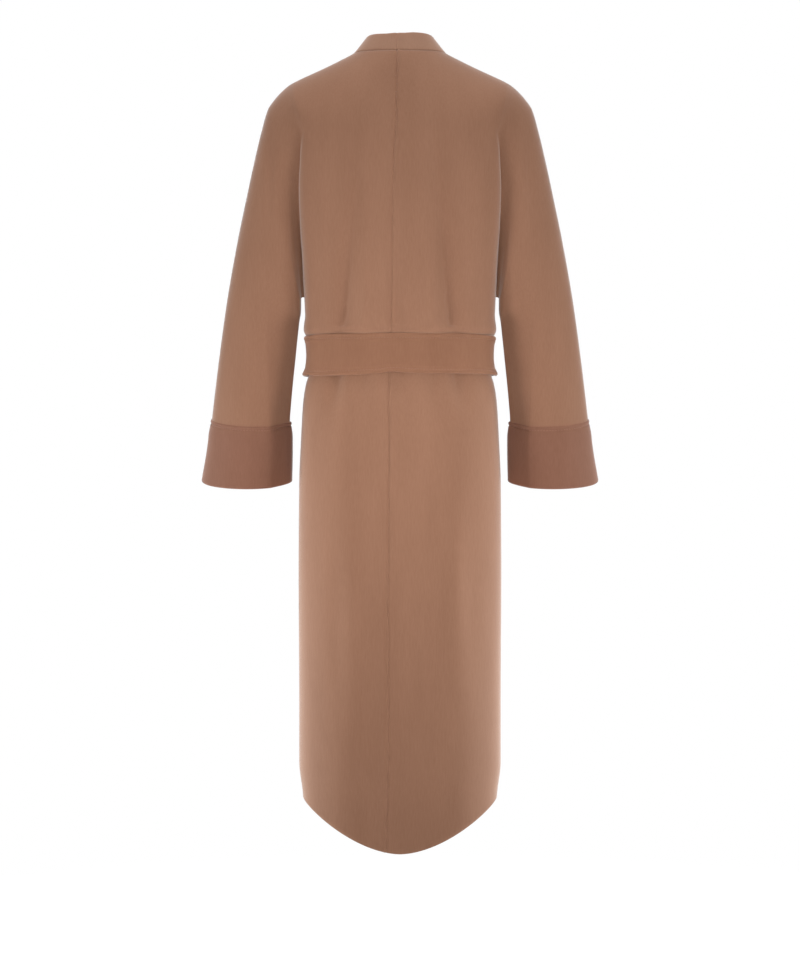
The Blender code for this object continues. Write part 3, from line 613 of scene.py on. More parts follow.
def sleeve_section(side, angle, along):
    """An oval round the arm at a distance down the sleeve, flat from a crease to its inner edge."""
    at = {name: float(between(SLEEVE, name, along)) for name in SLEEVE}
    outer = np.array([side * at["out_x"], at["centre_y"], at["out_z"]])
    inner = np.array([side * at["in_x"], at["centre_y"], at["in_z"]])
    swing = SLEEVE_SWING * smooth_step(along, SWING_START, SWING_FULL)
    backward = np.array([0, math.cos(swing), -math.sin(swing)]) * at["half_depth"]
    wide = float(between(SLEEVE_FLAT, "wide", along)) / np.linalg.norm(outer - inner) * 2
    flat = float(between(SLEEVE_FLAT, "hundredths", along)) / (100 * MM)
    from_inner, round_depth = 1 + np.cos(angle), np.abs(np.sin(angle))
    chord = math.sqrt(1 - (1 - wide) ** 2) * from_inner / wide
    depth = np.sign(np.sin(angle)) * (round_depth + flat * np.where(from_inner < wide, chord - round_depth, 0))
    return (outer + inner) / 2 + np.outer(np.cos(angle), (outer - inner) / 2) + np.outer(depth, backward)


def sleeve_rings(side, places):
    """Rings of one sleeve at distances down it, from the seam over the arm, down the back and up the front."""
    back = bodies["back", side][: ARM_ROWS + 1, -1]
    front = bodies["front", side][: ARM_ROWS + 1, -1]
    loop = np.concatenate([back, front[ARM_ROWS - 1:0:-1]])
    loop[[0, ARM_ROWS], 1] = 0
    middle = (loop[0, 2] + loop[ARM_ROWS, 2]) / 2
    half = (loop[0, 2] - loop[ARM_ROWS, 2]) / 2
    angle = np.arccos(np.clip((loop[:, 2] - middle) / half, -1, 1))
    angle[ARM_ROWS + 1:] = 2 * math.pi - angle[ARM_ROWS + 1:]
    stray = loop - sleeve_section(side, angle, 0.0)
    return np.array([sleeve_section(side, angle, along) + np.interp(along, FADE_ALONG, FADE_SHARE) * stray
                     for along in places])


def sleeve_half(rings, face):
    """Half of a sleeve as rows from the seam over the arm to the one under it, the back half for face 1."""
    count = rings.shape[1]
    order = [face * k % count for k in range(ARM_ROWS + 1)]
    return rings[:, order].transpose(1, 0, 2).copy()


stations = stretched(STATION_STRETCHES)
sleeves = {side: sleeve_rings(side, stations) for side in SIDES}
print("sleeve rings:", sleeves[1].shape)

# %% [markdown]
# Now the sheets become cloth. A grid primitive gives the faces, and each of its points moves to its place
# on the sheet: over the shoulder the join of body and sleeve is smoothed away, the creases sink, and the
# edges roll in at the seams. Solidify then gives the cloth its thickness, inwards, so that the outside
# keeps the solid's form.

# %% Working on sheets
ROLL_DEPTH = 1.3 * MM
ROLL_WIDTH = 3.0 * MM


def sheet_normals(grid, ring=False):
    """Unit normals of a sheet of points, pointing away from its own middle line."""
    down = np.gradient(grid, axis=0)
    across = (np.roll(grid, -1, axis=1) - np.roll(grid, 1, axis=1)) / 2 if ring else np.gradient(grid, axis=1)
    normals = unit(np.cross(across, down))
    inside = grid.mean(axis=1, keepdims=True) if ring else np.array([0, 0, 1]) * grid[..., 2:]
    return normals if np.sum(normals * (grid - inside)) > 0 else -normals


def distance(grid, axis):
    """Distance along the sheet from its first row or column."""
    steps = np.linalg.norm(np.diff(grid, axis=axis), axis=-1)
    start = np.zeros_like(np.take(steps, [0], axis=axis))
    return np.concatenate([start, np.cumsum(steps, axis=axis)], axis=axis)


def rolled(away):
    """How far an edge rolls in, by distance from it."""
    return ROLL_DEPTH * near_edge(away, ROLL_WIDTH)


def from_end(along, axis):
    """The same distances, from the last row or column."""
    return np.take(along, [-1], axis=axis) - along


print("an edge rolls in by", rolled(0.0) / MM, "mm")

# %% Cloth from a sheet
WALL_ANGLE = 50


def select_only(piece):
    """Makes one object the selected and active one."""
    bpy.ops.object.select_all(action="DESELECT")
    piece.select_set(True)
    bpy.context.view_layer.objects.active = piece


def finish_piece(piece, material, smooth_angle):
    """Shades a piece and gives it its material."""
    select_only(piece)
    bpy.ops.object.shade_smooth_by_angle(angle=math.radians(smooth_angle))
    piece.data.materials.clear()
    piece.data.materials.append(material)
    return piece


def cloth(name, grid, out, material, thickness=CLOTH):
    """A grid primitive shaped to a sheet of points, with a thickness. Points without a place are left out."""
    rows, columns = grid.shape[:2]
    bpy.ops.mesh.primitive_grid_add(x_subdivisions=columns - 1, y_subdivisions=rows - 1, size=1.0)
    piece = bpy.context.object
    piece.name = piece.data.name = name
    kept = ~np.isnan(grid[..., 0])
    mesh = piece.data
    mesh.vertices.foreach_set("co", np.where(kept[..., None], grid, 0).ravel())
    mesh.update()
    normals = np.empty(len(mesh.vertices) * 3)
    mesh.vertex_normals.foreach_get("vector", normals)
    facing = np.nansum(normals.reshape(rows, columns, 3)[kept] * out[kept])
    mesh.polygons.foreach_set("select", np.zeros(len(mesh.polygons), bool))
    mesh.edges.foreach_set("select", np.zeros(len(mesh.edges), bool))
    mesh.vertices.foreach_set("select", ~kept.ravel())
    bpy.ops.object.mode_set(mode="EDIT")
    bpy.ops.mesh.select_mode(type="VERT")
    bpy.ops.mesh.delete(type="VERT")
    if facing < 0:
        bpy.ops.mesh.select_all(action="SELECT")
        bpy.ops.mesh.flip_normals()
    bpy.ops.object.mode_set(mode="OBJECT")
    bpy.ops.object.modifier_add(type="SOLIDIFY")
    wall = piece.modifiers[-1]
    wall.thickness = thickness
    wall.offset = -1
    wall.use_even_offset = True
    wall.thickness_clamp = 1.0
    bpy.ops.object.modifier_apply(modifier=wall.name)
    return finish_piece(piece, material, WALL_ANGLE)


def face_outward(piece):
    """Turns every face of a closed mesh outwards."""
    select_only(piece)
    bpy.ops.object.mode_set(mode="EDIT")
    bpy.ops.mesh.select_all(action="SELECT")
    bpy.ops.mesh.normals_make_consistent(inside=False)
    bpy.ops.object.mode_set(mode="OBJECT")


print("cloth is", CLOTH / MM, "mm thick and shaded smooth up to", WALL_ANGLE, "degrees")

# %% [markdown]
# The four sheets with their sleeve halves. Beside the fold where sleeve and body meet, the body's edge
# stays proud and the sleeve dips behind it, as cloth does when an arm hangs down. One back lies a hair
# higher along the centre-back seam, because the turning is pressed under it: the right one above, the left
# one below. Over the belt the cloth blouses a little.

# %% Backs and fronts with their sleeve halves
SHOULDER_SMOOTH = (-100.0 * MM, -160.0 * MM)
LEAST_SMOOTH = 0.06
SMOOTH_REACH = 14
SMOOTH_PASSES = 80
NECK_EASE = 7
LIP_HEIGHT = 1.3 * MM
LIP_PLACE = 2.6 * MM
LIP_WIDTH = 1.7 * MM
LIP_CHANGE = (-770.0 * MM, -810.0 * MM)
BLOUSE_RISE = (-402.0 * MM, -429.0 * MM)
BLOUSE_TUCK = (-439.5 * MM, -431.5 * MM)
BLOUSE_DEPTH = 4.4 * MM
BLOUSE_REACH = (200.0 * MM, 130.0 * MM)


def beside(body, arm):
    """A body sheet with its sleeve half beside the first rows, and no points beside the others."""
    columns = body.shape[1]
    joined = np.full((len(body), columns + arm.shape[1] - 1, 3), np.nan)
    joined[:, :columns] = body
    joined[: len(arm), columns:] = arm[:, 1:]
    return joined


def soften(grid, column, strength):
    """Smooths a sheet across one of its columns, by a strength for each of its first rows."""
    rows = slice(0, len(strength))
    reach = slice(column - SMOOTH_REACH, column + SMOOTH_REACH + 1)
    near = 1 - np.abs(np.linspace(-1, 1, 2 * SMOOTH_REACH + 1)) ** 2
    weight = (strength[:, None] * near[None, :])[..., None]
    for _ in range(SMOOTH_PASSES):
        part = grid[rows, column - SMOOTH_REACH - 1: column + SMOOTH_REACH + 2]
        average = (part[:, :-2] + part[:, 1:-1] + part[:, 2:]) / 3
        grid[rows, reach] += weight * (average - grid[rows, reach])


def shape_panel(name, side):
    """Points and normals of one back or front with its sleeve half, creased and rolled at its edges."""
    face = 1 if name == "back" else -1
    body = bodies[name, side].copy()
    arm = sleeve_half(sleeves[side], face)
    body_out = sheet_normals(body)
    arm_out = sleeve_half(sheet_normals(sleeves[side], ring=True), face)
    join = slice(0, ARM_ROWS + 1)
    body_out[join, -1] = unit(body_out[join, -1] + arm_out[:, 0])
    across, down = distance(body, 1), distance(body, 0)
    body_in = rolled(across) + rolled(from_end(down, 0))
    on_shoulder = slice(NECK_SPANS + 1, None) if name == "back" else slice(None)
    body_in[:, on_shoulder] += rolled(down)[:, on_shoulder]
    body_in[ARM_ROWS:] += rolled(from_end(across, 1))[ARM_ROWS:]
    if name == "back":
        over_it = 1 - smooth_step(body[..., 2], *LIP_CHANGE)
        own = over_it if side < 0 else 1 - over_it
        body_in -= own * LIP_HEIGHT * hump(across, LIP_PLACE, LIP_WIDTH)
    blouse = smooth_step(body[..., 2], *BLOUSE_RISE) * smooth_step(body[..., 2], *BLOUSE_TUCK)
    body_in -= BLOUSE_DEPTH * blouse * smooth_step(np.abs(body[..., 0]), *BLOUSE_REACH)
    over = distance(arm, 0)
    arm_in = rolled(over) + rolled(from_end(over, 0))
    grid, out = beside(body, arm), beside(body_out, arm_out)
    sunk = beside(np.repeat(body_in[..., None], 3, 2), np.repeat(arm_in[..., None], 3, 2))
    fold = body.shape[1] - 1
    soften(grid, fold, 1 - (1 - LEAST_SMOOTH) * smooth_step(grid[: ARM_ROWS + 1, fold, 2], *SHOULDER_SMOOTH))
    if name == "back":
        row = np.arange(ARM_ROWS + 1)
        soften(grid, NECK_SPANS, smooth_step(row, 0, NECK_EASE) * smooth_step(row, ARM_ROWS, YOKE_SPANS))
    return grid - out * (sunk + creased(grid, out)[..., None]), out


pieces = {}
for side, word in SIDES.items():
    for name in ("back", "front"):
        grid, out = shape_panel(name, side)
        pieces[word + "_" + name] = cloth("cloth_" + word + "_" + name, grid, out, wool)
print("panels:", {name: len(piece.data.polygons) for name, piece in pieces.items()})

# %% [markdown]
# The collar is a band of the same cloth. It stands round the back of the neck, leaning in, with a seam of
# its own at the centre back where the left half sits a little lower. Over the shoulders it turns and lies
# along the front edges down to the belt.

# %% Collar
COLLAR_BACK_HEIGHT = {1: 28.0 * MM, -1: 30.5 * MM}
COLLAR_SIDE_HEIGHT = 34.6 * MM
COLLAR_STEP = 0.3
COLLAR_LEAN_BACK = 0.25
COLLAR_LEAN_SIDE = 0.65
COLLAR_END = 25.5 * MM
TUCK_LENGTH = 3.0 * MM
TUCK_DEPTH = CLOTH + 0.4 * MM
TUCK_FADE = (-20.0 * MM, -90.0 * MM)
TUCK_LEAST = 0.2
COLLAR_STEPS = (0, 0.02, 0.045, 0.08, 0.14, 0.22, 0.32, 0.43, 0.54, 0.65, 0.76, 0.86, 0.92, 0.955, 0.98, 1)
SHOULDER_ROW = 40


def open_edge(side, z):
    """Where the band's free edge lies on the front, at a height."""
    x = -side * float(between(FRONT_EDGE, "opening", z))
    lap = float(lap_depth(x, z)) if side > 0 else 0.0
    return np.array([x, lap - float(body_depth(-1, x, z)), z])


def collar_sheet(side):
    """Outer points of half the band, rows from centre back to belt, columns from its seam to its free edge."""
    base = bodies["back", side][0, : NECK_SPANS + 1]
    turn = np.arctan2(np.abs(base[:, 0]) / NECK_HALF_WIDTH, base[:, 1] / NECK_BACK_DEPTH)
    lean = COLLAR_LEAN_BACK + (COLLAR_LEAN_SIDE - COLLAR_LEAN_BACK) * np.sin(turn) ** 2
    standing = np.stack([-side * lean * np.sin(turn), -lean * np.cos(turn), np.sqrt(1 - lean ** 2)], axis=1)
    own = smooth_step(turn, turn[0], turn[0] + COLLAR_STEP)
    standing[:, 0] *= own
    at_seam = sum(COLLAR_BACK_HEIGHT.values()) / 2
    back_height = at_seam + (COLLAR_BACK_HEIGHT[side] - at_seam) * own
    tall = back_height + (COLLAR_SIDE_HEIGHT - back_height) * np.sin(turn) ** 2
    rows = [(b, b + d * h) for b, d, h in zip(base, standing, tall)]
    edge = bodies["front", side][1:, 0]
    lying = open_edge(side, YOKE_BOTTOM) - edge[YOKE_SPANS - 1]
    for point in edge:
        if point[2] < BELT_MIDDLE + COLLAR_END:
            break
        if point[2] > YOKE_BOTTOM + LAYER_GAP:
            share = smooth_step(point[2], 0, YOKE_BOTTOM)
            reach = COLLAR_SIDE_HEIGHT + (np.linalg.norm(lying) - COLLAR_SIDE_HEIGHT) * share
            rows.append((point, point + unit((1 - share) * standing[-1] + share * unit(lying)) * reach))
        else:
            rows.append((point, open_edge(side, point[2])))
    sheet = np.array([[a + (b - a) * t for t in COLLAR_STEPS] for a, b in rows])
    for row in sheet:
        if row[0, 2] <= YOKE_BOTTOM + LAYER_GAP:
            lap = lap_depth(row[:, 0], row[:, 2]) if side > 0 else 0
            row[:, 1] = lap - body_depth(-1, row[:, 0], row[:, 2])
    return sheet


def tucked(sheet, out):
    """The band with one more column at its seam, turned in under the cloth that it is sewn to."""
    share = 1 - (1 - TUCK_LEAST) * smooth_step(sheet[:, 0, 2], *TUCK_FADE)
    turn = unit(sheet[:, 0] - sheet[:, 1]) * TUCK_LENGTH - out[:, 0] * TUCK_DEPTH
    return np.concatenate([(sheet[:, 0] + turn * share[:, None])[:, None], sheet], axis=1)


for side, word in SIDES.items():
    sheet = collar_sheet(side)
    out = sheet_normals(sheet)
    along, wide = distance(sheet, 0), distance(sheet, 1)
    sunk = rolled(wide) + rolled(from_end(wide, 1)) + rolled(along)
    band = tucked(sheet - out * sunk[..., None], out)
    out = np.concatenate([out[:, :1], out], axis=1)
    pieces[word + "_collar"] = cloth("cloth_" + word + "_collar", band, out, wool_collar_painted_light)
widths = [round(v / MM) for v in wide[[0, SHOULDER_ROW, -1], -1]]
print("collar:", widths, "mm wide at the back, shoulder and belt")

# %% [markdown]
# Each cuff is the end of the sleeve turned up on itself. A torus has the right faces for it, a ring of
# closed sections, so every section becomes a J: up the outside, over a plump rim with a stitched groove
# below it, down the inside, and round the fold under the sleeve's end.

# %% Rings of closed sections
RING_ANGLE = 60


def ring_piece(name, sections, material):
    """A torus primitive shaped to a ring of closed sections, each with the same count of points."""
    count, points = len(sections), len(sections[0])
    bpy.ops.mesh.primitive_torus_add(major_segments=count, minor_segments=points)
    piece = bpy.context.object
    piece.name = piece.data.name = name
    piece.data.vertices.foreach_set("co", np.array(sections).ravel())
    piece.data.update()
    face_outward(piece)
    return finish_piece(piece, material, RING_ANGLE)


print("rings are shaded smooth up to", RING_ANGLE, "degrees")

# %% Cuffs
CUFF_TOP = 537.0 * MM
CUFF_STAND = LAYER_GAP + CLOTH
CUFF_GROOVE = 6.4 * MM
GROOVE_WIDTH = 1.3 * MM
GROOVE_DEPTH = 1.2 * MM
RIM_PUFF = 0.5 * MM
RIM_PLACE = 3.0 * MM
RIM_REACH = 2.4 * MM
RIM_TAPER = 2.2 * MM
TAPER_LENGTH = 26.0 * MM
RIM_ROUND = 0.9 * MM
RIM_ROUND_WIDTH = 1.6 * MM
# Round the fold under the sleeve's end: how far out from the sleeve, and how far down past its end
CUFF_FOLD = np.array((
    (CUFF_STAND - 0.7 * MM, 2.0 * MM), (CUFF_STAND - 2.4 * MM, CUFF_STAND - 0.2 * MM),
    (-1.4 * MM, CUFF_STAND), (-CLOTH, 1.6 * MM), (-CLOTH, LAYER_GAP), (LAYER_GAP, LAYER_GAP),
))
cuff_down = stretched(((0, 16, 20), (16, 97, 27)))


def rim_relief(down):
    """How far a sewn edge stands out, by distance from the edge: a plump rim, then the stitched groove."""
    puff = RIM_PUFF * hump(down, RIM_PLACE, RIM_REACH)
    round_off = RIM_ROUND * near_edge(down, RIM_ROUND_WIDTH)
    taper = RIM_TAPER * (1 - smooth_step(down, 0, TAPER_LENGTH))
    return puff - round_off - taper - GROOVE_DEPTH * hump(down, CUFF_GROOVE, GROOVE_WIDTH)


def cuff_sections(side):
    """J sections round one cuff, with the outside line of each first."""
    rings = sleeve_rings(side, CUFF_TOP + cuff_down)
    normals = sheet_normals(rings, ring=True)
    rings = rings - normals * creased(rings, normals)[..., None]
    relief = rim_relief(cuff_down)
    sections = []
    for j in range(rings.shape[1]):
        line, out = rings[:, j], normals[:, j]
        down = unit(line[-1] - line[-2])
        face = line + out * (CUFF_STAND + relief)[:, None]
        fold = line[-1] + np.outer(CUFF_FOLD[:, 0], out[-1]) + np.outer(CUFF_FOLD[:, 1], down)
        lining = (line + out * LAYER_GAP)[-2::-3]
        sections.append(np.concatenate([face, fold, lining]))
    return np.array(sections)


cuffs = {}
for side, word in SIDES.items():
    cuffs[side] = cuff_sections(side)
    pieces[word + "_cuff"] = ring_piece("cloth_" + word + "_cuff", cuffs[side], wool_cuff_painted_shade)
print("cuff rings:", cuffs[1].shape)

# %% [markdown]
# The belt is a long strip of the cloth, doubled and topstitched along both edges, so its edges are plump
# with a groove beside them. It is drawn in over the waist, and its edges wander a little where the cloth
# under it gathers.

# %% Belt
BELT = table("height inner outer", [
    (-30.2, 4.4, 9.2), (-26.0, 3.2, 10.0), (-18.0, 1.0, 6.6), (0, 0.8, 5.4),
    (18.0, 0.8, 6.0), (25.0, 1.8, 8.0), (30.2, 2.8, 7.2),
])
BELT_HALF = 30.2 * MM
BELT_QUARTER = 60
BELT_GROOVE = 6.5 * MM
SIDE_POWER = 6
TOP_THINNING = 2.8 * MM
BOTTOM_THINNING = 0.8 * MM
# How the belt's line rises and falls across the back
BELT_LINE = table("across rise", [
    (-150, 0), (-80, -0.6), (-20, 0.1), (13, 1.4), (19, 1.2), (24, 0), (60, -2.0), (110, -3.4), (150, 0),
])
BELT_ROUND = 1.5 * MM
BELT_ROUND_WIDTH = 2.0 * MM
STITCH_GROOVE_DEPTH = 1.0 * MM
STITCH_GROOVE_WIDTH = 1.5 * MM
# Slow waves of the belt's line, as height and length: in front along the lower edge, and all round
FRONT_WAVE = (1.2 * MM, 34.0 * MM)
ROUND_WAVE = (0.4 * MM, 17.0 * MM)
WAVE_FROM = 10.0 * MM
# Between these distances from the belt's middle it grows thinner towards its edges
THINNING = (8.0 * MM, 26.0 * MM)
MEASURED_ROW = 30
belt_heights = stretched(((-30.2, -16, 21), (-16, 16, 13), (16, 30.2, 21)))


def body_normal(side, share, height):
    """Level direction straight out of the body's section, at a share of its half width."""
    width = float(between(TORSO, "half_width", height))
    depth = float(between(TORSO, "back" if side > 0 else "front", height))
    along = (1 - abs(share) ** SQUARENESS) ** (1 / SQUARENESS)
    slope_x = math.copysign(abs(share) ** (SQUARENESS - 1) / width, share)
    slope_y = side * along ** (SQUARENESS - 1) / depth
    return unit(np.array([slope_x, slope_y, 0.0]))


def belt_places():
    """Shares of the half width round the body, and the side each is on."""
    quarter = np.sin(np.linspace(0, math.pi / 2, BELT_QUARTER + 1)) ** (2 / SQUARENESS)
    behind = np.concatenate([-quarter[::-1], quarter[1:]])
    before = np.concatenate([quarter[-2::-1], -quarter[1:-1]])
    return [(share, 1) for share in behind] + [(share, -1) for share in before]


def belt_wander(x, side, height):
    """How far the belt's line rises or falls round the body, more along its lower edge."""
    lower = smooth_step(height, WAVE_FROM, -BELT_HALF)
    drawn = float(between(BELT_LINE, "rise", x)) if side > 0 else FRONT_WAVE[0] * math.sin(x / FRONT_WAVE[1])
    return lower * drawn + ROUND_WAVE[0] * math.sin(x / ROUND_WAVE[1] + side)


def belt_outer_stand(share, height):
    """How far the belt's outside stands off the body: its edges are plump at the sides and flatter behind."""
    thinner = TOP_THINNING * smooth_step(height, *THINNING) + BOTTOM_THINNING * smooth_step(-height, *THINNING)
    return float(between(BELT, "outer", height)) - float(thinner) * (1 - abs(share) ** SIDE_POWER)


belt_outer, belt_sections = [], []
for share, side in belt_places():
    inner, outer = [], []
    for height in belt_heights:
        z = BELT_MIDDLE + height
        x = share * float(between(TORSO, "half_width", z))
        away = BELT_HALF - abs(height)
        round_off = BELT_ROUND * near_edge(away, BELT_ROUND_WIDTH)
        groove = STITCH_GROOVE_DEPTH * hump(away, BELT_GROOVE, STITCH_GROOVE_WIDTH)
        point = np.array([x, side * float(body_depth(side, x, z)), z + belt_wander(x, side, height)])
        out = body_normal(side, share, z)
        inner.append(point + out * (float(between(BELT, "inner", height)) + round_off))
        outer.append(point + out * (belt_outer_stand(share, height) - round_off - groove))
    belt_outer.append(outer)
    belt_sections.append(inner + outer[::-1])
belt_outer = np.array(belt_outer)
pieces["belt"] = ring_piece("cloth_belt", belt_sections, wool_belt_painted_shade)
print("belt round:", round(float(distance(belt_outer[:, MEASURED_ROW], 0)[-1]), 3), "m")

# %% [markdown]
# In front the belt is tied once. The knot is a short stretch of the strip that wraps over the crossing and
# tucks under, so it is modelled as a rounded form with slanting folds, deepest above and below. A sphere is
# the start. The two free ends hang from under it on the skirt.

# %% Knot
KNOT_X = 20.0 * MM
KNOT_HALF_WIDTH = 33.0 * MM
KNOT_TOP = -429.0 * MM
KNOT_BOTTOM = -503.0 * MM
KNOT_THICKNESS = 21.0 * MM
# Each fold's place and half width as shares of the knot's half width, and its depth in millimetres
KNOT_FOLDS = ((-0.6, 0.1, 4.4), (-0.2, 0.13, 6.0), (0.22, 0.11, 5.2), (0.58, 0.1, 4.0))
KNOT_LEAN = 0.55
KNOT_WAIST = 0.74
KNOT_FLATNESS = 0.45
KNOT_CLOSING = 0.3
KNOT_PINCH = 0.6
KNOT_TAPER = 0.12
KNOT_FULLNESS = 0.6
KNOT_SQUARENESS = 0.8
# The folds begin this far out from the belt, and deepen by this much outwards
FOLD_START = 0.35
FOLD_GAIN = 1.5
KNOT_ANGLE = 70


def front_face(x, z):
    """The right front's outer face there."""
    return -float(body_depth(-1, x, z))


def knot_base(x):
    """The belt's outermost face behind the knot."""
    stand = [front_face(x, BELT_MIDDLE + h) - far for h, far in zip(BELT["height"], BELT["outer"])]
    return min(stand) - 2 * LAYER_GAP


bpy.ops.mesh.primitive_uv_sphere_add(segments=96, ring_count=64, radius=1.0)
knot = bpy.context.object
knot.name = knot.data.name = "cloth_belt_knot"
for vertex in knot.data.vertices:
    x, y, z = vertex.co
    ring = math.hypot(x, y)
    across = x / max(ring, 1e-6)
    level = 0.5 + math.asin(max(-1, min(1, z))) / math.pi
    bulge = math.sin(math.pi * (KNOT_TAPER + (1 - 2 * KNOT_TAPER) * level)) ** KNOT_FULLNESS
    closing = min(1, ring / KNOT_CLOSING) ** 0.5
    half = KNOT_HALF_WIDTH * (KNOT_WAIST + (1 - KNOT_WAIST) * bulge) * closing
    at_x = KNOT_X + half * math.copysign(abs(across) ** KNOT_SQUARENESS, across)
    out = (0.5 - 0.5 * y / max(ring, 1e-6)) * closing
    thick = KNOT_THICKNESS * (KNOT_FLATNESS + (1 - KNOT_FLATNESS) * bulge)
    pinch = KNOT_PINCH + (1 - KNOT_PINCH) * abs(2 * level - 1)
    lean = across + KNOT_LEAN * (level - 0.5)
    sunk = sum(depth * hump(lean, place, width) for place, width, depth in KNOT_FOLDS) * MM * pinch
    at_z = KNOT_BOTTOM + (KNOT_TOP - KNOT_BOTTOM) * level
    sunk *= FOLD_GAIN * max(0, out - FOLD_START)
    vertex.co = (at_x, knot_base(at_x) - thick * out + sunk, at_z)
face_outward(knot)
pieces["belt_knot"] = finish_piece(knot, wool_belt_painted_shade, KNOT_ANGLE)
print("knot:", len(knot.data.polygons), "faces")

# %% Free ends of the belt
END_WIDTH = 57.0 * MM
END_ROOT_WIDTH = 33.0 * MM
END_FLARE = 120.0 * MM
END_THICKNESS = 5.0 * MM
END_CLEARANCE = 1.5 * MM
END_LIFT = 6.0 * MM
END_LENGTHS = {1: 400.0 * MM, -1: 360.0 * MM}
END_DRIFT = 0.05
END_ROWS = 90
END_WALL = 3.8 * MM
END_GATHER = 1.2 * MM
END_GATHERS = 3.5
END_PUFF = 0.9 * MM
END_PUFF_PLACE = 3.4 * MM
END_PUFF_REACH = 2.8 * MM
END_ROUND = 1.6 * MM
edge_shares = np.linspace(0.6, 1, 16)
END_SHARES = np.concatenate([-edge_shares[::-1], np.linspace(-0.6, 0.6, 14)[1:-1], edge_shares])


def end_sheet(side):
    """Outer points of one hanging end, folded in at the knot and flat below."""
    top = KNOT_BOTTOM - LAYER_GAP
    apart = END_ROOT_WIDTH / 2 + 3 * LAYER_GAP
    rows = []
    for fall in np.linspace(0, END_LENGTHS[side], END_ROWS):
        spread = smooth_step(fall, 0, END_FLARE)
        half = (END_ROOT_WIDTH + (END_WIDTH - END_ROOT_WIDTH) * spread) / 2
        centre = KNOT_X + side * (apart + spread * (END_WIDTH - END_ROOT_WIDTH) / 2 + END_DRIFT * fall)
        lift = END_LIFT * (1 - spread)
        row = []
        for share in END_SHARES:
            x = centre + half * share
            z = top - fall
            away = (1 - abs(share)) * half
            gathered = END_GATHER * math.cos(END_GATHERS * math.pi * share) * (1 - spread)
            groove = STITCH_GROOVE_DEPTH * hump(away, BELT_GROOVE, STITCH_GROOVE_WIDTH) * spread
            puff = END_PUFF * hump(away, END_PUFF_PLACE, END_PUFF_REACH)
            round_off = END_ROUND * near_edge(away, BELT_ROUND_WIDTH)
            stand = END_CLEARANCE + END_THICKNESS + lift + gathered + puff - groove - round_off
            row.append((x, front_face(x, z) - stand, z))
        rows.append(row)
    return np.array(rows)


ends = {}
for side, word in SIDES.items():
    ends[side] = end_sheet(side)
    toward = np.zeros(ends[side].shape)
    toward[..., 1] = -1
    end = "belt_" + word + "_end"
    pieces[end] = cloth("cloth_" + end, ends[side], toward, wool_belt_painted_shade, END_WALL)
print("belt ends:", [ends[s].shape for s in ends])

# %% [markdown]
# The stitches are thread of the same colour, sunk in the grooves of the belt and the cuffs. One stitch is a
# small sphere drawn out along the seam, and the rest are copies of its points set along the groove, joined
# in one mesh.

# %% Stitches
STITCH_PITCH = 4.6 * MM
STITCH_HALF_LENGTH = 1.75 * MM
STITCH_RADIUS = 0.42 * MM
STITCH_RAISE = 0.25
STITCH_ANGLE = 80
STITCH_SEGMENTS = 6
STITCH_RINGS = 4
STITCHED_ROWS = slice(20, -2)
TWIST = 0.6 * MM
THREAD_ROUGHNESS = 0.6

thread = bpy.data.materials.new("camel_spun_thread")
thread.use_nodes = True
spot = add_node(thread, "ShaderNodeTexCoord").outputs["Object"]
twist = add_node(thread, "ShaderNodeTexNoise", {"Vector": spot, "Scale": 1 / TWIST})
thread_colour = add_node(thread, "ShaderNodeMix",
                         {"Factor": twist.outputs[0], "A": linear("#8d6450"), "B": linear("#a87c63")},
                         data_type="RGBA")
set_inputs(thread, thread.node_tree.nodes["Principled BSDF"],
           {"Base Color": thread_colour.outputs["Result"], "Roughness": THREAD_ROUGHNESS})


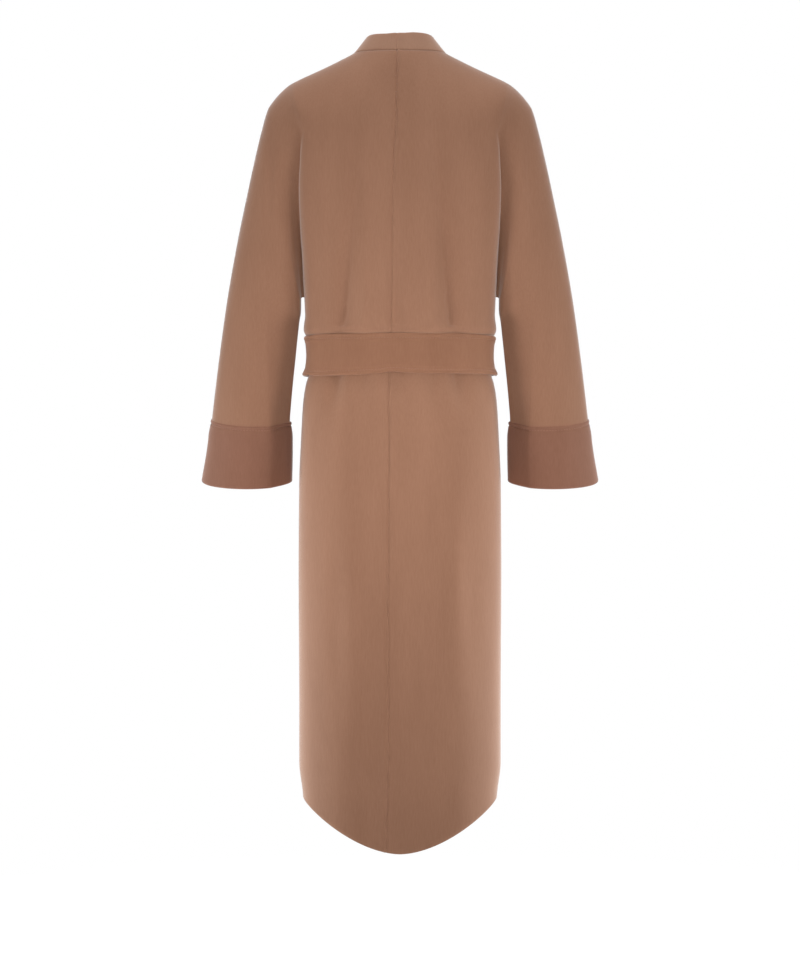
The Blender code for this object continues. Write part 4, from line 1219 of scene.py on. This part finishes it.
def stitches(name, lines):
    """Stitches along lines of points, each line with the direction out of the cloth at its points."""
    bpy.ops.mesh.primitive_uv_sphere_add(segments=STITCH_SEGMENTS, ring_count=STITCH_RINGS, radius=1.0)
    one = bpy.context.object
    shape = np.array([v.co for v in one.data.vertices])
    faces = [tuple(p.vertices) for p in one.data.polygons]
    points, polygons = [], []
    for line, out in lines:
        run = distance(line, 0)
        for middle in np.arange(STITCH_PITCH / 2, run[-1], STITCH_PITCH):
            place = np.array([np.interp(middle, run, line[:, i]) for i in range(3)])
            ahead = np.array([np.interp(middle + MM, run, line[:, i]) for i in range(3)])
            up = unit(np.array([np.interp(middle, run, out[:, i]) for i in range(3)]))
            along = unit(ahead - place + 1e-9)
            aside = unit(np.cross(up, along))
            start = len(points)
            for x, y, z in shape:
                across = (aside * x + up * (y + STITCH_RAISE)) * STITCH_RADIUS
                points.append(place + along * z * STITCH_HALF_LENGTH + across)
            polygons += [tuple(start + i for i in face) for face in faces]
    mesh = bpy.data.meshes.new(name)
    mesh.from_pydata([tuple(p) for p in points], [], polygons)
    mesh.update()
    old = one.data
    one.data = mesh
    one.name = name
    bpy.data.meshes.remove(old)
    face_outward(one)
    return finish_piece(one, thread, STITCH_ANGLE)


def closed(line):
    """A line with its first point again at the end."""
    return np.concatenate([line, line[:1]])


def level_out(line):
    """Directions straight out from the coat's axis, level, for a line round it."""
    return unit(line * np.array([1, 1, 0]))


belt_lines = []
for height in (BELT_HALF - BELT_GROOVE, BELT_GROOVE - BELT_HALF):
    row = int(np.argmin(np.abs(belt_heights - height)))
    line = closed(belt_outer[:, row])
    belt_lines.append((line, level_out(line)))
extra = {"belt": stitches("stitches_belt", belt_lines)}
for side, word in SIDES.items():
    row = int(np.argmin(np.abs(cuff_down - CUFF_GROOVE)))
    line = closed(cuffs[side][:, row])
    out = unit(line - line.mean(axis=0))
    extra[word + "_cuff"] = stitches("stitches_" + word + "_cuff", [(line, out)])
    sheet = ends[side]
    toward = np.tile((0.0, -1.0, 0.0), (len(sheet), 1))
    half = np.linalg.norm(sheet[-1, -1] - sheet[-1, 0]) / 2
    wanted = 1 - BELT_GROOVE / half
    columns = [int(np.argmin(np.abs(END_SHARES - w))) for w in (-wanted, wanted)]
    end = "belt_" + word + "_end"
    rows = [(sheet[STITCHED_ROWS, c], toward[STITCHED_ROWS]) for c in columns]
    extra[end] = stitches("stitches_" + end, rows)
faces = STITCH_SEGMENTS * STITCH_RINGS
print("stitches:", {name: len(piece.data.polygons) // faces for name, piece in extra.items()})

# %% [markdown]
# Last, every piece and its stitches ride on the one body. Each piece stands for its solid, which is hidden,
# as are the sleeve solids that belong to it.

for node, piece in pieces.items():
    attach(piece, "root")
    sleeve = node.replace("_", "_sleeve_", 1)
    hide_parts(node, *(n for n in frame["nodes"] if "_sleeve_" in n and n.startswith(sleeve)))
    on_it = [extra[node]] if node in extra else []
    for stitched in on_it:
        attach(stitched, "root")
print("declared:", len(pieces), "pieces and", len(extra), "rows of stitches")
